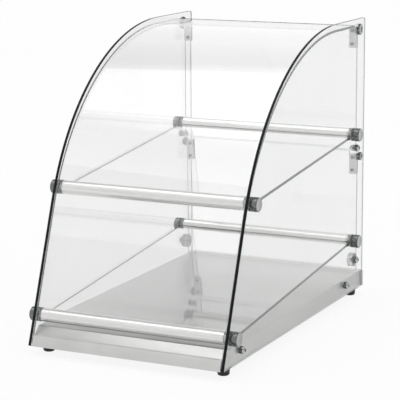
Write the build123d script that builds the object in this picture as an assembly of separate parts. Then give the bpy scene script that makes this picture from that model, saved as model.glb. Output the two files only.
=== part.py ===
from build123d import *
import os
from math import atan2, cos, degrees, hypot, radians, sin, tan

# Glass display cabinet with a curved front pane, two sloping shelves and two top-hung rear doors.
# Millimetres, +Z up, -Y is the front that the customer sees, +Y is the side with the doors.
# Shapes are drawn with y = 0 and z = 0 at the bottom front corner of the side glasses; when they are
# written they move so that the origin is on the floor, under the middle of the cabinet.

# Side glasses
OUTER_WIDTH = 350.0
SIDE_GLASS = 5.0
SIDE_HEIGHT = 492.0
SIDE_DEPTH = 596.0
FRONT_LEAN = 20.2
FRONT_RADIUS = 402.0
TOP_REAR_CORNER = 5.0
GLASS_CORNER = 2.0

# Curved front pane, held in the front channel of the base
PANE_THICKNESS = 4.0
PANE_DROP = 10.0
PANE_REAR_INSET = 48.0
SEAL_THICKNESS = 1.0
SEAT_THICKNESS = 3.0
LIP_INSET = 0.1
LIP_HEIGHT = 17.0
CHANNEL_SHEET = 0.8
CHANNEL_GAP = 0.1
CHANNEL_REAR_HEIGHT = 14.0
PANE_BAR_GAP = 0.25

# Base
BASE_HEIGHT = 29.5
BASE_SHEET = 1.2
BASE_GAP = 1.5
BASE_FRONT_SLOPE = 45.0
RAIL_MARGIN = 2.5
RAIL_HEIGHT = 12.0
RAIL_END_GAP = 1.0
BASE_BEND = 2.0
BASE_END = 4.7
BASE_END_GAP = 0.3

# Round bars across the cabinet and what holds their ends
BAR_DIAMETER = 22.5
BAR_END_GAP = 6.5
BAR_NECK_DIAMETER = 14.0
WASHER_DIAMETER = 23.5
WASHER_THICKNESS = 2.5
GASKET_DIAMETER = 22.0
GASKET_THICKNESS = 0.5
SLEEVE_WALL = 0.8
SLEEVE_INSET = 0.3
KNOB_DIAMETER = 23.5
KNOB_LENGTH = 10.5
KNOB_CHAMFER = 0.8
STUD_DIAMETER = 6.0
STUD_IN_BAR = 17.0
STUD_IN_KNOB = 7.5
BAR_BASE_GAP = 4.25
BAR_DOOR_GAP = 0.35
UPPER_BAR_RISE = 33.0
LOWER_SHELF_RISE = 47.7
UPPER_SHELF_RISE = 43.8

# Shelves and the slots that hold them, each slot this far under its bar's axis
SHELF_THICKNESS = 5.0
SHELF_SIDE_GAP = 2.0
SHELF_NOTCH_GAP = 1.75
SHELF_END_GAP = 0.2
SLOT_GAP = 0.6
SLOT_DEPTH = 8.0
UPPER_FRONT_SLOT = 3.2
UPPER_REAR_SLOT = 2.4
LOWER_FRONT_SLOT = 4.8
LOWER_REAR_SLOT = 1.0

# Domed screws that hold the base and the door stops
DOME_DIAMETER = 12.5
DOME_HEIGHT = 6.0
DOME_RIM = 2.0
DOME_WASHER = 0.5
DOME_WASHER_DIAMETER = 11.5
FIXING_DIAMETER = 5.0
FIXING_NUT_WIDTH = 8.0
FIXING_NUT_HEIGHT = 4.0
FIXING_TIP = 1.0
FIXING_HEIGHT = 19.0
FIXING_FRONT_INSET = 66.0
FIXING_REAR_INSET = 83.0
SPACER_DIAMETER = 12.0

# Feet
FOOT_HEIGHT = 15.5
FOOT_TOP_DIAMETER = 21.0
FOOT_BOTTOM_DIAMETER = 19.0
FOOT_ROUNDING = 3.0
FOOT_EDGE_GAP = 0.5
FOOT_FRONT_INSET = 36.7
FOOT_REAR_INSET = 16.5
FOOT_SCREW_HEAD = 7.5
FOOT_SCREW_HEAD_HEIGHT = 3.0
FOOT_RECESS_DEPTH = 8.0
FOOT_RECESS_GAP = 0.5

# Rear doors
DOOR_THICKNESS = 4.0
DOOR_SIDE_GAP = 1.7
UPPER_DOOR_INSET = 30.7
DOOR_STEP = 7.3
DOOR_TOP_DROP = 14.0
DOOR_GAP = 3.0
DOOR_BASE_GAP = 2.0
LOWER_DOOR_TOP = 254.0
UPPER_AXIS_DROP = 4.5
LOWER_AXIS_DROP = 9.0
DOOR_CORNER = 1.5

# Hinges
HINGE_WIDTH = 14.0
HINGE_ABOVE_AXIS = 4.0
HINGE_BELOW_AXIS = 33.0
HINGE_PLATE = 1.5
HINGE_CORNER = 1.5
HINGE_PAD = 0.5
PIVOT_BLOCK_BELOW_AXIS = 5.5
NOTCH_GAP = 0.4
HINGE_SCREW_DIAMETER = 4.0
HINGE_SCREW_WALL = 0.35
HINGE_SCREW_BELOW_AXIS = 2.5
HINGE_SCREW_EDGE = 7.0
HINGE_HEAD_DIAMETER = 6.5
HINGE_HEAD_HEIGHT = 2.2
HINGE_NUT_WIDTH = 7.0
HINGE_NUT_HEIGHT = 3.2
LEDGE_HEIGHT = 2.0
LEDGE_DEPTH = 2.0
PIN_DIAMETER = 5.0
PIN_RUNNING_GAP = 0.05
PIN_BORE_DEPTH = 5.3
PIN_END_GAP = 0.8
PIN_IN_CAP = 3.0
BUSH_WALL = 2.0
BUSH_FLANGE = 0.8
BUSH_FLANGE_DIAMETER = 12.0
UPPER_CAP_DIAMETER = 20.0
UPPER_CAP_LENGTH = 4.0
LOWER_CAP_DIAMETER = 15.0
LOWER_CAP_LENGTH = 4.5
CAP_CHAMFER = 0.8

# Door stops
STOP_GAP = 0.3
UPPER_STOP_DIAMETER = 11.0
UPPER_STOP_LENGTH = 10.7
UPPER_STOP_TIP = 4.5
UPPER_STOP_TIP_DIAMETER = 4.0
UPPER_STOP_RISE = 5.0
LOWER_STOP_DIAMETER = 24.5
LOWER_STOP_LENGTH = 10.0
LOWER_STOP_CHAMFER = 0.8
LOWER_STOP_RISE = 25.0
STOP_SCREW_DIAMETER = 4.0
STOP_SCREW_DEPTH = 6.0

# Clearances round fasteners
THREAD_GAP = 0.05
HOLE_GAP = 0.3
GLASS_HOLE_GAP = 1.0

# Worked out from the sizes above
GLASS_OUTSIDE = OUTER_WIDTH / 2
GLASS_INSIDE = GLASS_OUTSIDE - SIDE_GLASS
BASE_HALF = GLASS_INSIDE - BASE_GAP
PANE_HALF = GLASS_INSIDE - SEAL_THICKNESS
PANE_INSET = LIP_INSET + CHANNEL_SHEET + CHANNEL_GAP
PANE_INNER_INSET = PANE_INSET + PANE_THICKNESS
BASE_FRONT_INSET = PANE_INNER_INSET + CHANNEL_GAP + CHANNEL_SHEET
BASE_DEPTH = SIDE_DEPTH + BASE_END_GAP + BASE_END
RAIL_INNER_X = BASE_HALF - FOOT_EDGE_GAP - FOOT_TOP_DIAMETER - RAIL_MARGIN
PANE_REAR = SIDE_DEPTH - PANE_REAR_INSET
UPPER_DOOR_Y = SIDE_DEPTH - UPPER_DOOR_INSET
UPPER_DOOR_TOP = SIDE_HEIGHT - DOOR_TOP_DROP
UPPER_DOOR_BOTTOM = LOWER_DOOR_TOP + DOOR_GAP
UPPER_AXIS_HEIGHT = UPPER_DOOR_TOP - UPPER_AXIS_DROP
LOWER_DOOR_Y = UPPER_DOOR_Y + DOOR_STEP
LOWER_DOOR_BOTTOM = BASE_HEIGHT + DOOR_BASE_GAP
LOWER_AXIS_HEIGHT = LOWER_DOOR_TOP - LOWER_AXIS_DROP
BAR_RADIUS = BAR_DIAMETER / 2
REAR_BAR_Y = UPPER_DOOR_Y - DOOR_THICKNESS / 2 - BAR_DOOR_GAP - WASHER_DIAMETER / 2
UPPER_REAR_BAR_HEIGHT = LOWER_DOOR_TOP + UPPER_BAR_RISE
UPPER_BAR_HEIGHT = UPPER_REAR_BAR_HEIGHT - UPPER_SHELF_RISE
LOWER_BAR_HEIGHT = BASE_HEIGHT + BAR_BASE_GAP + BAR_RADIUS
LOWER_REAR_BAR_HEIGHT = LOWER_BAR_HEIGHT + LOWER_SHELF_RISE
BAR_HALF = GLASS_INSIDE - BAR_END_GAP
WASHER_OUTER_X = GLASS_INSIDE - GASKET_THICKNESS
WASHER_INNER_X = WASHER_OUTER_X - WASHER_THICKNESS
KNOB_X = GLASS_OUTSIDE + GASKET_THICKNESS
SLEEVE_RADIUS = STUD_DIAMETER / 2 + THREAD_GAP + SLEEVE_WALL
SLOT_WIDTH = SHELF_THICKNESS + SLOT_GAP
DOOR_HALF = GLASS_INSIDE - DOOR_SIDE_GAP
BUSH_DIAMETER = PIN_DIAMETER + 2 * (THREAD_GAP + BUSH_WALL)
MODEL_SHIFT = Location((0, -BASE_DEPTH / 2, FOOT_HEIGHT))


def save(name, pieces):
    """Write one node, a single piece or a group of like pieces, in the frame of the finished part."""
    moved = [MODEL_SHIFT * piece for piece in pieces]
    shape = moved[0] if len(moved) == 1 else Compound(children=moved)
    export_step(shape, f"parts/{name}.step")


def both_sides(piece):
    """The piece on the right side and its mirror image on the left."""
    return [piece, mirror(piece, about=Plane.YZ)]


def mirrored(pieces):
    """The mirror images of all these pieces."""
    return [mirror(piece, about=Plane.YZ) for piece in pieces]


def side_plane(x, y=0.0, z=0.0):
    """Plane square to X, drawn in (y, z)."""
    return Plane(origin=(x, y, z), x_dir=(0, 1, 0), z_dir=(1, 0, 0))


def extruded(outline, x_from, x_to):
    """A closed (y, z) outline drawn out along X."""
    return extrude(side_plane(x_from) * outline, amount=x_to - x_from)


def polygon(points):
    """Face inside a closed (y, z) polygon."""
    return make_face(Polyline(*points, close=True))


def rod(x_from, x_to, diameter, y, z):
    """Cylinder along X."""
    blank = Cylinder(diameter / 2, x_to - x_from, align=(Align.CENTER, Align.CENTER, Align.MIN))
    return side_plane(x_from, y, z) * blank


def ring(x_from, x_to, diameter, bore, y, z):
    """Flat ring or tube along X."""
    return rod(x_from, x_to, diameter, y, z) - rod(x_from, x_to, bore, y, z)


def block(x, y, z):
    """Box between two values in each direction."""
    centre = ((x[0] + x[1]) / 2, (y[0] + y[1]) / 2, (z[0] + z[1]) / 2)
    return Location(centre) * Box(x[1] - x[0], y[1] - y[0], z[1] - z[0])


def pin_y(y_from, y_to, diameter, x, z):
    """Cylinder along Y."""
    blank = Cylinder(diameter / 2, y_to - y_from, align=(Align.CENTER, Align.CENTER, Align.MIN))
    return Plane(origin=(x, y_from, z), x_dir=(1, 0, 0), z_dir=(0, 1, 0)) * blank


def rounded(outline, corners, radius):
    """Round the corners of a flat outline that lie nearest to the given points."""
    chosen = [outline.vertices().sort_by_distance((y, z, 0))[0] for y, z in corners]
    return fillet(chosen, radius)


# Front edge geometry

def lean_point(inset, height):
    """Point at a height, this far inside the leaning front edge, measured square to it."""
    lean = radians(FRONT_LEAN)
    return (inset / cos(lean) + height * tan(lean), height)


def bend_centre(inset, drop):
    """Centre of the bend that touches the leaning edge at this inset and the top at this drop."""
    lean = radians(FRONT_LEAN)
    centre_z = SIDE_HEIGHT - drop - FRONT_RADIUS
    return ((inset + FRONT_RADIUS + centre_z * sin(lean)) / cos(lean), centre_z)


def bend(inset, drop, radius):
    """Arc about that centre, from the leaning edge to the flat top."""
    centre_y, centre_z = bend_centre(inset, drop)
    angles = (radians(FRONT_LEAN), radians((FRONT_LEAN + 90) / 2), radians(90))
    points = [(centre_y - radius * cos(angle), centre_z + radius * sin(angle)) for angle in angles]
    return ThreePointArc(*points)


def front_bar_y(height):
    """Place of a front bar whose end washers just clear the inner face of the pane."""
    reach = WASHER_DIAMETER / 2 + PANE_BAR_GAP
    inner_radius = FRONT_RADIUS - PANE_THICKNESS
    centre_y, centre_z = bend_centre(PANE_INSET, PANE_DROP)
    if height < centre_z + inner_radius * sin(radians(FRONT_LEAN)):
        return lean_point(PANE_INNER_INSET + reach, height)[0]
    return centre_y - ((inner_radius - reach) ** 2 - (height - centre_z) ** 2) ** 0.5


def stop_y(door_y, diameter):
    """Place of a stop that just clears the inner face of its door."""
    return door_y - DOOR_THICKNESS / 2 - STOP_GAP - diameter / 2


# Bars as (y, z) of the axis, with the drop from the axis to the middle of the slot

BARS = {
    "upper_front": (front_bar_y(UPPER_BAR_HEIGHT), UPPER_BAR_HEIGHT, UPPER_FRONT_SLOT),
    "lower_front": (front_bar_y(LOWER_BAR_HEIGHT), LOWER_BAR_HEIGHT, LOWER_FRONT_SLOT),
    "upper_rear": (REAR_BAR_Y, UPPER_REAR_BAR_HEIGHT, UPPER_REAR_SLOT),
    "lower_rear": (REAR_BAR_Y, LOWER_REAR_BAR_HEIGHT, LOWER_REAR_SLOT),
}
FIXINGS = [(FIXING_FRONT_INSET, FIXING_HEIGHT), (SIDE_DEPTH - FIXING_REAR_INSET, FIXING_HEIGHT)]
STOPS = {
    "upper": (stop_y(UPPER_DOOR_Y, UPPER_STOP_DIAMETER), UPPER_DOOR_BOTTOM + UPPER_STOP_RISE),
    "lower": (stop_y(LOWER_DOOR_Y, LOWER_STOP_DIAMETER), LOWER_DOOR_BOTTOM + LOWER_STOP_RISE),
}
PIVOTS = {
    "upper": (UPPER_DOOR_Y, UPPER_AXIS_HEIGHT),
    "lower": (LOWER_DOOR_Y, LOWER_AXIS_HEIGHT),
}


# Glass carcass

def side_glass():
    """Right side glass with holes for the bars, the fixings, the stops and the pivots."""
    arc = bend(0, 0, FRONT_RADIUS)
    edges = [
        arc,
        Line((0, 0), arc @ 0),
        Polyline(arc @ 1, (SIDE_DEPTH, SIDE_HEIGHT), (SIDE_DEPTH, 0), (0, 0)),
    ]
    outline = make_face(edges)
    outline = rounded(outline, [(SIDE_DEPTH, SIDE_HEIGHT)], TOP_REAR_CORNER)
    outline = rounded(outline, [(0, 0), (SIDE_DEPTH, 0)], GLASS_CORNER)
    glass = extruded(outline, GLASS_INSIDE, GLASS_OUTSIDE)
    holes = [(y, z, 2 * SLEEVE_RADIUS + HOLE_GAP) for y, z, drop in BARS.values()]
    holes += [(y, z, FIXING_DIAMETER + GLASS_HOLE_GAP) for y, z in FIXINGS]
    holes += [(y, z, STOP_SCREW_DIAMETER + GLASS_HOLE_GAP) for y, z in STOPS.values()]
    holes += [(y, z, BUSH_DIAMETER + HOLE_GAP) for y, z in PIVOTS.values()]
    for y, z, diameter in holes:
        glass -= rod(GLASS_INSIDE, GLASS_OUTSIDE, diameter, y, z)
    return glass


def pane_outline():
    """Section of the curved pane: foot ground level, straight front, bend, flat top."""
    outer = bend(PANE_INSET, PANE_DROP, FRONT_RADIUS)
    inner = bend(PANE_INSET, PANE_DROP, FRONT_RADIUS - PANE_THICKNESS)
    foot = CHANNEL_SHEET + SEAT_THICKNESS
    edges = [
        outer,
        inner,
        Polyline(outer @ 0, lean_point(PANE_INSET, foot), lean_point(PANE_INNER_INSET, foot), inner @ 0),
        Polyline(outer @ 1, (PANE_REAR, (outer @ 1).Y), (PANE_REAR, (inner @ 1).Y), inner @ 1),
    ]
    return make_face(edges)


def front_glass():
    """Curved front and top pane between the side glasses."""
    return extruded(pane_outline(), -PANE_HALF, PANE_HALF)


def pane_edge_seal():
    """Right clear strip between the pane's edge and the side glass."""
    return extruded(pane_outline(), PANE_HALF, GLASS_INSIDE)


def pane_seat_strip():
    """Strip on the channel floor that the pane stands on."""
    foot = CHANNEL_SHEET + SEAT_THICKNESS
    corners = [
        lean_point(PANE_INSET, CHANNEL_SHEET),
        lean_point(PANE_INSET, foot),
        lean_point(PANE_INNER_INSET, foot),
        lean_point(PANE_INNER_INSET, CHANNEL_SHEET),
    ]
    return extruded(polygon(corners), -BASE_HALF, BASE_HALF)


# Base

def base_front_channel():
    """Bent channel across the front: low outer lip, floor and inner leg on the base wall."""
    lip_inner = LIP_INSET + CHANNEL_SHEET
    leg_outer = PANE_INNER_INSET + CHANNEL_GAP
    corners = [
        lean_point(LIP_INSET, 0),
        lean_point(LIP_INSET, LIP_HEIGHT),
        lean_point(lip_inner, LIP_HEIGHT),
        lean_point(lip_inner, CHANNEL_SHEET),
        lean_point(leg_outer, CHANNEL_SHEET),
        lean_point(leg_outer, CHANNEL_REAR_HEIGHT),
        lean_point(BASE_FRONT_INSET, CHANNEL_REAR_HEIGHT),
        lean_point(BASE_FRONT_INSET, 0),
    ]
    return extruded(polygon(corners), -BASE_HALF, BASE_HALF)


def base_outline():
    """Side view of the base: leaning front, sloping band, flat top, upright rear."""
    fold_y, fold_z = lean_point(BASE_FRONT_INSET, LIP_HEIGHT)
    top_y = fold_y + (BASE_HEIGHT - fold_z) / tan(radians(BASE_FRONT_SLOPE))
    bends = [(fold_y, fold_z), (top_y, BASE_HEIGHT), (BASE_DEPTH, BASE_HEIGHT)]
    front_foot = lean_point(BASE_FRONT_INSET, 0)
    outline = polygon([front_foot, *bends, (BASE_DEPTH, 0)])
    return rounded(outline, bends, BASE_BEND)


def base_shell():
    """Folded sheet box, open below, with a rear end as wide as the glasses."""
    outline = base_outline()
    end_front = BASE_DEPTH - BASE_END
    shell = extruded(outline, -BASE_HALF, BASE_HALF)
    shell += block((-GLASS_OUTSIDE, GLASS_OUTSIDE), (end_front, BASE_DEPTH), (0, BASE_HEIGHT - BASE_BEND))
    inner_half = BASE_HALF - BASE_SHEET
    shell -= extruded(offset(outline, -BASE_SHEET, kind=Kind.INTERSECTION), -inner_half, inner_half)
    wall_inset = BASE_FRONT_INSET + BASE_SHEET
    mouth = [
        lean_point(wall_inset, 0),
        lean_point(wall_inset, BASE_SHEET),
        (BASE_DEPTH - BASE_SHEET, BASE_SHEET),
        (BASE_DEPTH - BASE_SHEET, 0),
    ]
    shell -= extruded(polygon(mouth), -inner_half, inner_half)
    end_half = GLASS_OUTSIDE - BASE_SHEET
    end_depth = (end_front + BASE_SHEET, BASE_DEPTH - BASE_SHEET)
    shell -= block((-end_half, end_half), end_depth, (0, BASE_HEIGHT - BASE_BEND - BASE_SHEET))
    for y, z in FIXINGS:
        shell -= rod(-BASE_HALF, BASE_HALF, FIXING_DIAMETER + HOLE_GAP, y, z)
    return shell


def foot_rail():
    """Right angle strip inside the base wall that carries the feet."""
    outer = BASE_HALF - BASE_SHEET
    front = lean_point(BASE_FRONT_INSET + BASE_SHEET, RAIL_HEIGHT)[0] + RAIL_END_GAP
    length = (front, BASE_DEPTH - BASE_SHEET - RAIL_END_GAP)
    rail = block((RAIL_INNER_X, outer), length, (0, BASE_SHEET))
    rail += block((outer - BASE_SHEET, outer), length, (0, RAIL_HEIGHT))
    for x, y in foot_places():
        if x > 0:
            rail -= Location((x, y, 0)) * upright(0, BASE_SHEET, FIXING_DIAMETER + HOLE_GAP)
    return rail


def fixing_screw(y, z):
    """Domed screw from outside the right side glass into the base."""
    tip = BASE_HALF - BASE_SHEET - FIXING_NUT_HEIGHT - FIXING_TIP
    return domed_screw(tip, FIXING_DIAMETER, y, z)


def fixing_washer(y, z):
    """Washer under the head of a base fixing screw."""
    return dome_washer(FIXING_DIAMETER + HOLE_GAP, y, z)


def base_spacer(y, z):
    """Ring between the base wall and the side glass."""
    return ring(BASE_HALF, GLASS_INSIDE, SPACER_DIAMETER, FIXING_DIAMETER + HOLE_GAP, y, z)


def fixing_nut(y, z):
    """Nut on the inner face of the base wall."""
    start = BASE_HALF - BASE_SHEET - FIXING_NUT_HEIGHT
    return hex_nut(side_plane(start, y, z), FIXING_NUT_WIDTH, FIXING_NUT_HEIGHT, FIXING_DIAMETER)


# Fasteners

def domed_screw(tip, diameter, y, z):
    """Screw along X with a domed head on its washer outside the right side glass."""
    seat = GLASS_OUTSIDE + DOME_WASHER
    head = rod(seat, seat + DOME_HEIGHT, DOME_DIAMETER, y, z)
    head = fillet(head.edges().sort_by(Axis.X)[-1], DOME_HEIGHT - DOME_RIM)
    return head + rod(tip, seat, diameter, y, z)


def dome_washer(bore, y, z):
    """Washer between a domed head and the glass."""
    return ring(GLASS_OUTSIDE, GLASS_OUTSIDE + DOME_WASHER, DOME_WASHER_DIAMETER, bore, y, z)


def hex_nut(plane, width, height, thread):
    """Six-sided nut standing on a plane."""
    blank = extrude(RegularPolygon(width / 2, 6, major_radius=False), amount=height)
    bore = Cylinder(thread / 2 + THREAD_GAP, height, align=(Align.CENTER, Align.CENTER, Align.MIN))
    return plane * (blank - bore)


def upright(z_from, z_to, diameter):
    """Cylinder along Z about the origin."""
    blank = Cylinder(diameter / 2, z_to - z_from, align=(Align.CENTER, Align.CENTER, Align.MIN))
    return Location((0, 0, z_from)) * blank


# Feet

def foot_places():
    """Centres of the four feet."""
    x = BASE_HALF - FOOT_EDGE_GAP - FOOT_TOP_DIAMETER / 2
    rows = (FOOT_FRONT_INSET, SIDE_DEPTH - FOOT_REAR_INSET)
    return [(side * x, y) for y in rows for side in (-1, 1)]


def foot():
    """Tapered rubber foot with a rounded lower edge and a recess for its screw."""
    blank = Cone(
        FOOT_BOTTOM_DIAMETER / 2,
        FOOT_TOP_DIAMETER / 2,
        FOOT_HEIGHT,
        align=(Align.CENTER, Align.CENTER, Align.MAX),
    )
    blank = fillet(blank.edges().sort_by(Axis.Z)[0], FOOT_ROUNDING)
    recess = upright(-FOOT_HEIGHT, FOOT_RECESS_DEPTH - FOOT_HEIGHT, FOOT_SCREW_HEAD + FOOT_RECESS_GAP)
    return blank - recess - upright(-FOOT_HEIGHT, 0, FIXING_DIAMETER + HOLE_GAP)


def foot_screw():
    """Screw up through a foot and its rail."""
    seat = FOOT_RECESS_DEPTH - FOOT_HEIGHT
    head = upright(seat - FOOT_SCREW_HEAD_HEIGHT, seat, FOOT_SCREW_HEAD)
    return head + upright(seat, BASE_SHEET + FIXING_NUT_HEIGHT + FIXING_TIP, FIXING_DIAMETER)


def foot_nut():
    """Nut on a rail above its foot."""
    return hex_nut(Plane.XY.offset(BASE_SHEET), FIXING_NUT_WIDTH, FIXING_NUT_HEIGHT, FIXING_DIAMETER)


# Bars and shelves

def shelf_frame(level):
    """Frame on the middle line of a shelf slot: origin under the front bar, Y along the shelf."""
    front_y, front_z, front_drop = BARS[f"{level}_front"]
    rear_y, rear_z, rear_drop = BARS[f"{level}_rear"]
    run = rear_y - front_y
    rise = (rear_z - rear_drop) - (front_z - front_drop)
    tilt = degrees(atan2(rise, run))
    return Location((0, front_y, front_z - front_drop), (tilt, 0, 0)), hypot(run, rise)


def shelf_slot(level, end):
    """Material to take out of a bar for the shelf."""
    frame, length = shelf_frame(level)
    deep = BAR_RADIUS - SLOT_DEPTH
    y_range = (deep, BAR_DIAMETER) if end == "front" else (length - BAR_DIAMETER, length - deep)
    return frame * block((-GLASS_INSIDE, GLASS_INSIDE), y_range, (-SLOT_WIDTH / 2, SLOT_WIDTH / 2))


def bar(level, end):
    """Round bar with a shelf slot, a neck at each end and a tapped hole in each neck."""
    y, z, drop = BARS[f"{level}_{end}"]
    body = rod(-BAR_HALF, BAR_HALF, BAR_DIAMETER, y, z) - shelf_slot(level, end)
    neck = rod(BAR_HALF, WASHER_INNER_X, BAR_NECK_DIAMETER, y, z)
    body += neck + mirror(neck, about=Plane.YZ)
    hole = rod(WASHER_INNER_X - STUD_IN_BAR, WASHER_INNER_X, STUD_DIAMETER + 2 * THREAD_GAP, y, z)
    return body - hole - mirror(hole, about=Plane.YZ)


def shelf_glass(level):
    """Shelf resting on the lower face of both slots, with corners cut out round the bar ends."""
    frame, length = shelf_frame(level)
    start = BAR_RADIUS - SLOT_DEPTH + SHELF_END_GAP
    half = GLASS_INSIDE - SHELF_SIDE_GAP
    bottom = -SLOT_WIDTH / 2
    glass = block((-half, half), (start, length - start), (bottom, bottom + SHELF_THICKNESS))
    notch_end = WASHER_DIAMETER / 2 + SHELF_NOTCH_GAP
    notch_side = BAR_HALF - SHELF_NOTCH_GAP
    for y_range in ((start, notch_end), (length - notch_end, length - start)):
        for x_range in ((-half, -notch_side), (notch_side, half)):
            glass -= block(x_range, y_range, (bottom, bottom + SHELF_THICKNESS))
    return frame * glass


def bar_washer(y, z):
    """Metal washer on the bar's neck end, right side."""
    return ring(WASHER_INNER_X, WASHER_OUTER_X, WASHER_DIAMETER, STUD_DIAMETER + HOLE_GAP, y, z)


def inner_gasket(y, z):
    """Thin gasket between the washer and the right side glass."""
    return ring(WASHER_OUTER_X, GLASS_INSIDE, GASKET_DIAMETER, STUD_DIAMETER + HOLE_GAP, y, z)


def outer_gasket(y, z):
    """Gasket under a knob with a sleeve that centres the stud in the glass hole."""
    bore = STUD_DIAMETER + 2 * THREAD_GAP
    flange = ring(GLASS_OUTSIDE, KNOB_X, GASKET_DIAMETER, bore, y, z)
    return flange + ring(GLASS_INSIDE + SLEEVE_INSET, GLASS_OUTSIDE, 2 * SLEEVE_RADIUS, bore, y, z)


def bar_stud(y, z):
    """Threaded stud from the bar through the right side glass into the knob."""
    return rod(WASHER_INNER_X - STUD_IN_BAR, KNOB_X + STUD_IN_KNOB, STUD_DIAMETER, y, z)


def end_knob(y, z):
    """Plain round knob screwed on the stud outside the right side glass."""
    knob = rod(KNOB_X, KNOB_X + KNOB_LENGTH, KNOB_DIAMETER, y, z)
    knob = chamfer(knob.edges().sort_by(Axis.X)[-1], KNOB_CHAMFER)
    return knob - rod(KNOB_X, KNOB_X + STUD_IN_KNOB, STUD_DIAMETER + 2 * THREAD_GAP, y, z)


# Door stops

def upper_stop(y, z):
    """Bumper with a pointed end, inside the right side glass."""
    shoulder = GLASS_INSIDE - UPPER_STOP_LENGTH + UPPER_STOP_TIP
    tip = Cone(
        UPPER_STOP_DIAMETER / 2,
        UPPER_STOP_TIP_DIAMETER / 2,
        UPPER_STOP_TIP,
        align=(Align.CENTER, Align.CENTER, Align.MIN),
    )
    pointing_in = Plane(origin=(shoulder, y, z), x_dir=(0, 1, 0), z_dir=(-1, 0, 0))
    stop = rod(shoulder, GLASS_INSIDE, UPPER_STOP_DIAMETER, y, z) + pointing_in * tip
    return stop - stop_bore(y, z)


def lower_stop(y, z):
    """Disc buffer inside the right side glass."""
    stop = rod(GLASS_INSIDE - LOWER_STOP_LENGTH, GLASS_INSIDE, LOWER_STOP_DIAMETER, y, z)
    stop = chamfer(stop.edges().sort_by(Axis.X)[0], LOWER_STOP_CHAMFER)
    return stop - stop_bore(y, z)


def stop_bore(y, z):
    """Tapped hole for the stop's screw."""
    return rod(GLASS_INSIDE - STOP_SCREW_DEPTH, GLASS_INSIDE, STOP_SCREW_DIAMETER + 2 * THREAD_GAP, y, z)


def stop_screw(y, z):
    """Domed screw from outside the right side glass into a stop."""
    return domed_screw(GLASS_INSIDE - STOP_SCREW_DEPTH, STOP_SCREW_DIAMETER, y, z)


def stop_washer(y, z):
    """Washer under the head of a stop screw."""
    return dome_washer(STOP_SCREW_DIAMETER + HOLE_GAP, y, z)


# Pivots on the right side glass

def pivot_pin(y, z):
    """Pin that the door's hinge body turns on."""
    start = DOOR_HALF - PIN_BORE_DEPTH + PIN_END_GAP
    return rod(start, GLASS_OUTSIDE + PIN_IN_CAP, PIN_DIAMETER, y, z)


def pivot_bush(y, z):
    """Plastic bush in the glass hole, with a flange towards the door."""
    bore = PIN_DIAMETER + 2 * THREAD_GAP
    flange = ring(GLASS_INSIDE - BUSH_FLANGE, GLASS_INSIDE, BUSH_FLANGE_DIAMETER, bore, y, z)
    return flange + ring(GLASS_INSIDE, GLASS_OUTSIDE, BUSH_DIAMETER, bore, y, z)


def pivot_cap(diameter, length, y, z):
    """Round cap on the outer end of a pin."""
    cap = rod(GLASS_OUTSIDE, GLASS_OUTSIDE + length, diameter, y, z)
    cap = chamfer(cap.edges().sort_by(Axis.X)[-1], CAP_CHAMFER)
    return cap - rod(GLASS_OUTSIDE, GLASS_OUTSIDE + PIN_IN_CAP, PIN_DIAMETER + 2 * THREAD_GAP, y, z)


# Doors: the pieces of one right-hand hinge about a pivot axis at (y, axis)

def hinge_block_space(y, axis, top, gap):
    """Space that the pivot block takes up beside the glass, grown by a gap."""
    x_range = (DOOR_HALF - HINGE_WIDTH - gap, DOOR_HALF + gap)
    half = DOOR_THICKNESS / 2 + HINGE_PAD
    return block(x_range, (y - half, y + half), (axis - PIVOT_BLOCK_BELOW_AXIS - gap, top))


def hinge_leaf(y_from, thickness, axis):
    """Upright rectangle of the hinge's outline with rounded lower corners."""
    x_range = (DOOR_HALF - HINGE_WIDTH, DOOR_HALF)
    leaf = block(x_range, (y_from, y_from + thickness), (axis - HINGE_BELOW_AXIS, axis + HINGE_ABOVE_AXIS))
    lower_corners = leaf.edges().filter_by(Axis.Y).sort_by(Axis.Z)[:2]
    return fillet(lower_corners, HINGE_CORNER)


def hinge_screw_places(axis):
    """Centres of the two hinge screws as (x, z)."""
    x = DOOR_HALF - PIN_BORE_DEPTH - HINGE_SCREW_WALL - (HINGE_SCREW_DIAMETER + HOLE_GAP) / 2
    return [(x, axis - HINGE_SCREW_BELOW_AXIS), (x, axis - HINGE_BELOW_AXIS + HINGE_SCREW_EDGE)]


def screw_holes(piece, y, axis, diameter):
    """Drill both screw holes right through a piece."""
    reach = HINGE_WIDTH
    for x, z in hinge_screw_places(axis):
        piece -= pin_y(y - reach, y + reach, diameter, x, z)
    return piece


def hinge_body(y, axis, ledge):
    """Front plate and pivot block in one, with the bore that runs on the pin."""
    plate_rear = y - DOOR_THICKNESS / 2 - HINGE_PAD
    plate_front = plate_rear - HINGE_PLATE
    top = axis + HINGE_ABOVE_AXIS
    body = hinge_leaf(plate_front, HINGE_PLATE, axis) + hinge_block_space(y, axis, top, 0)
    if ledge:
        x_range = (DOOR_HALF - HINGE_WIDTH, DOOR_HALF)
        body += block(x_range, (plate_front - LEDGE_DEPTH, plate_rear), (top - LEDGE_HEIGHT, top))
    body -= rod(DOOR_HALF - PIN_BORE_DEPTH, DOOR_HALF, PIN_DIAMETER + 2 * PIN_RUNNING_GAP, y, axis)
    return screw_holes(body, y, axis, HINGE_SCREW_DIAMETER + HOLE_GAP)


def hinge_clamp_plate(y, axis):
    """Plate behind the glass."""
    plate = hinge_leaf(y + DOOR_THICKNESS / 2 + HINGE_PAD, HINGE_PLATE, axis)
    return screw_holes(plate, y, axis, HINGE_SCREW_DIAMETER + HOLE_GAP)


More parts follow.
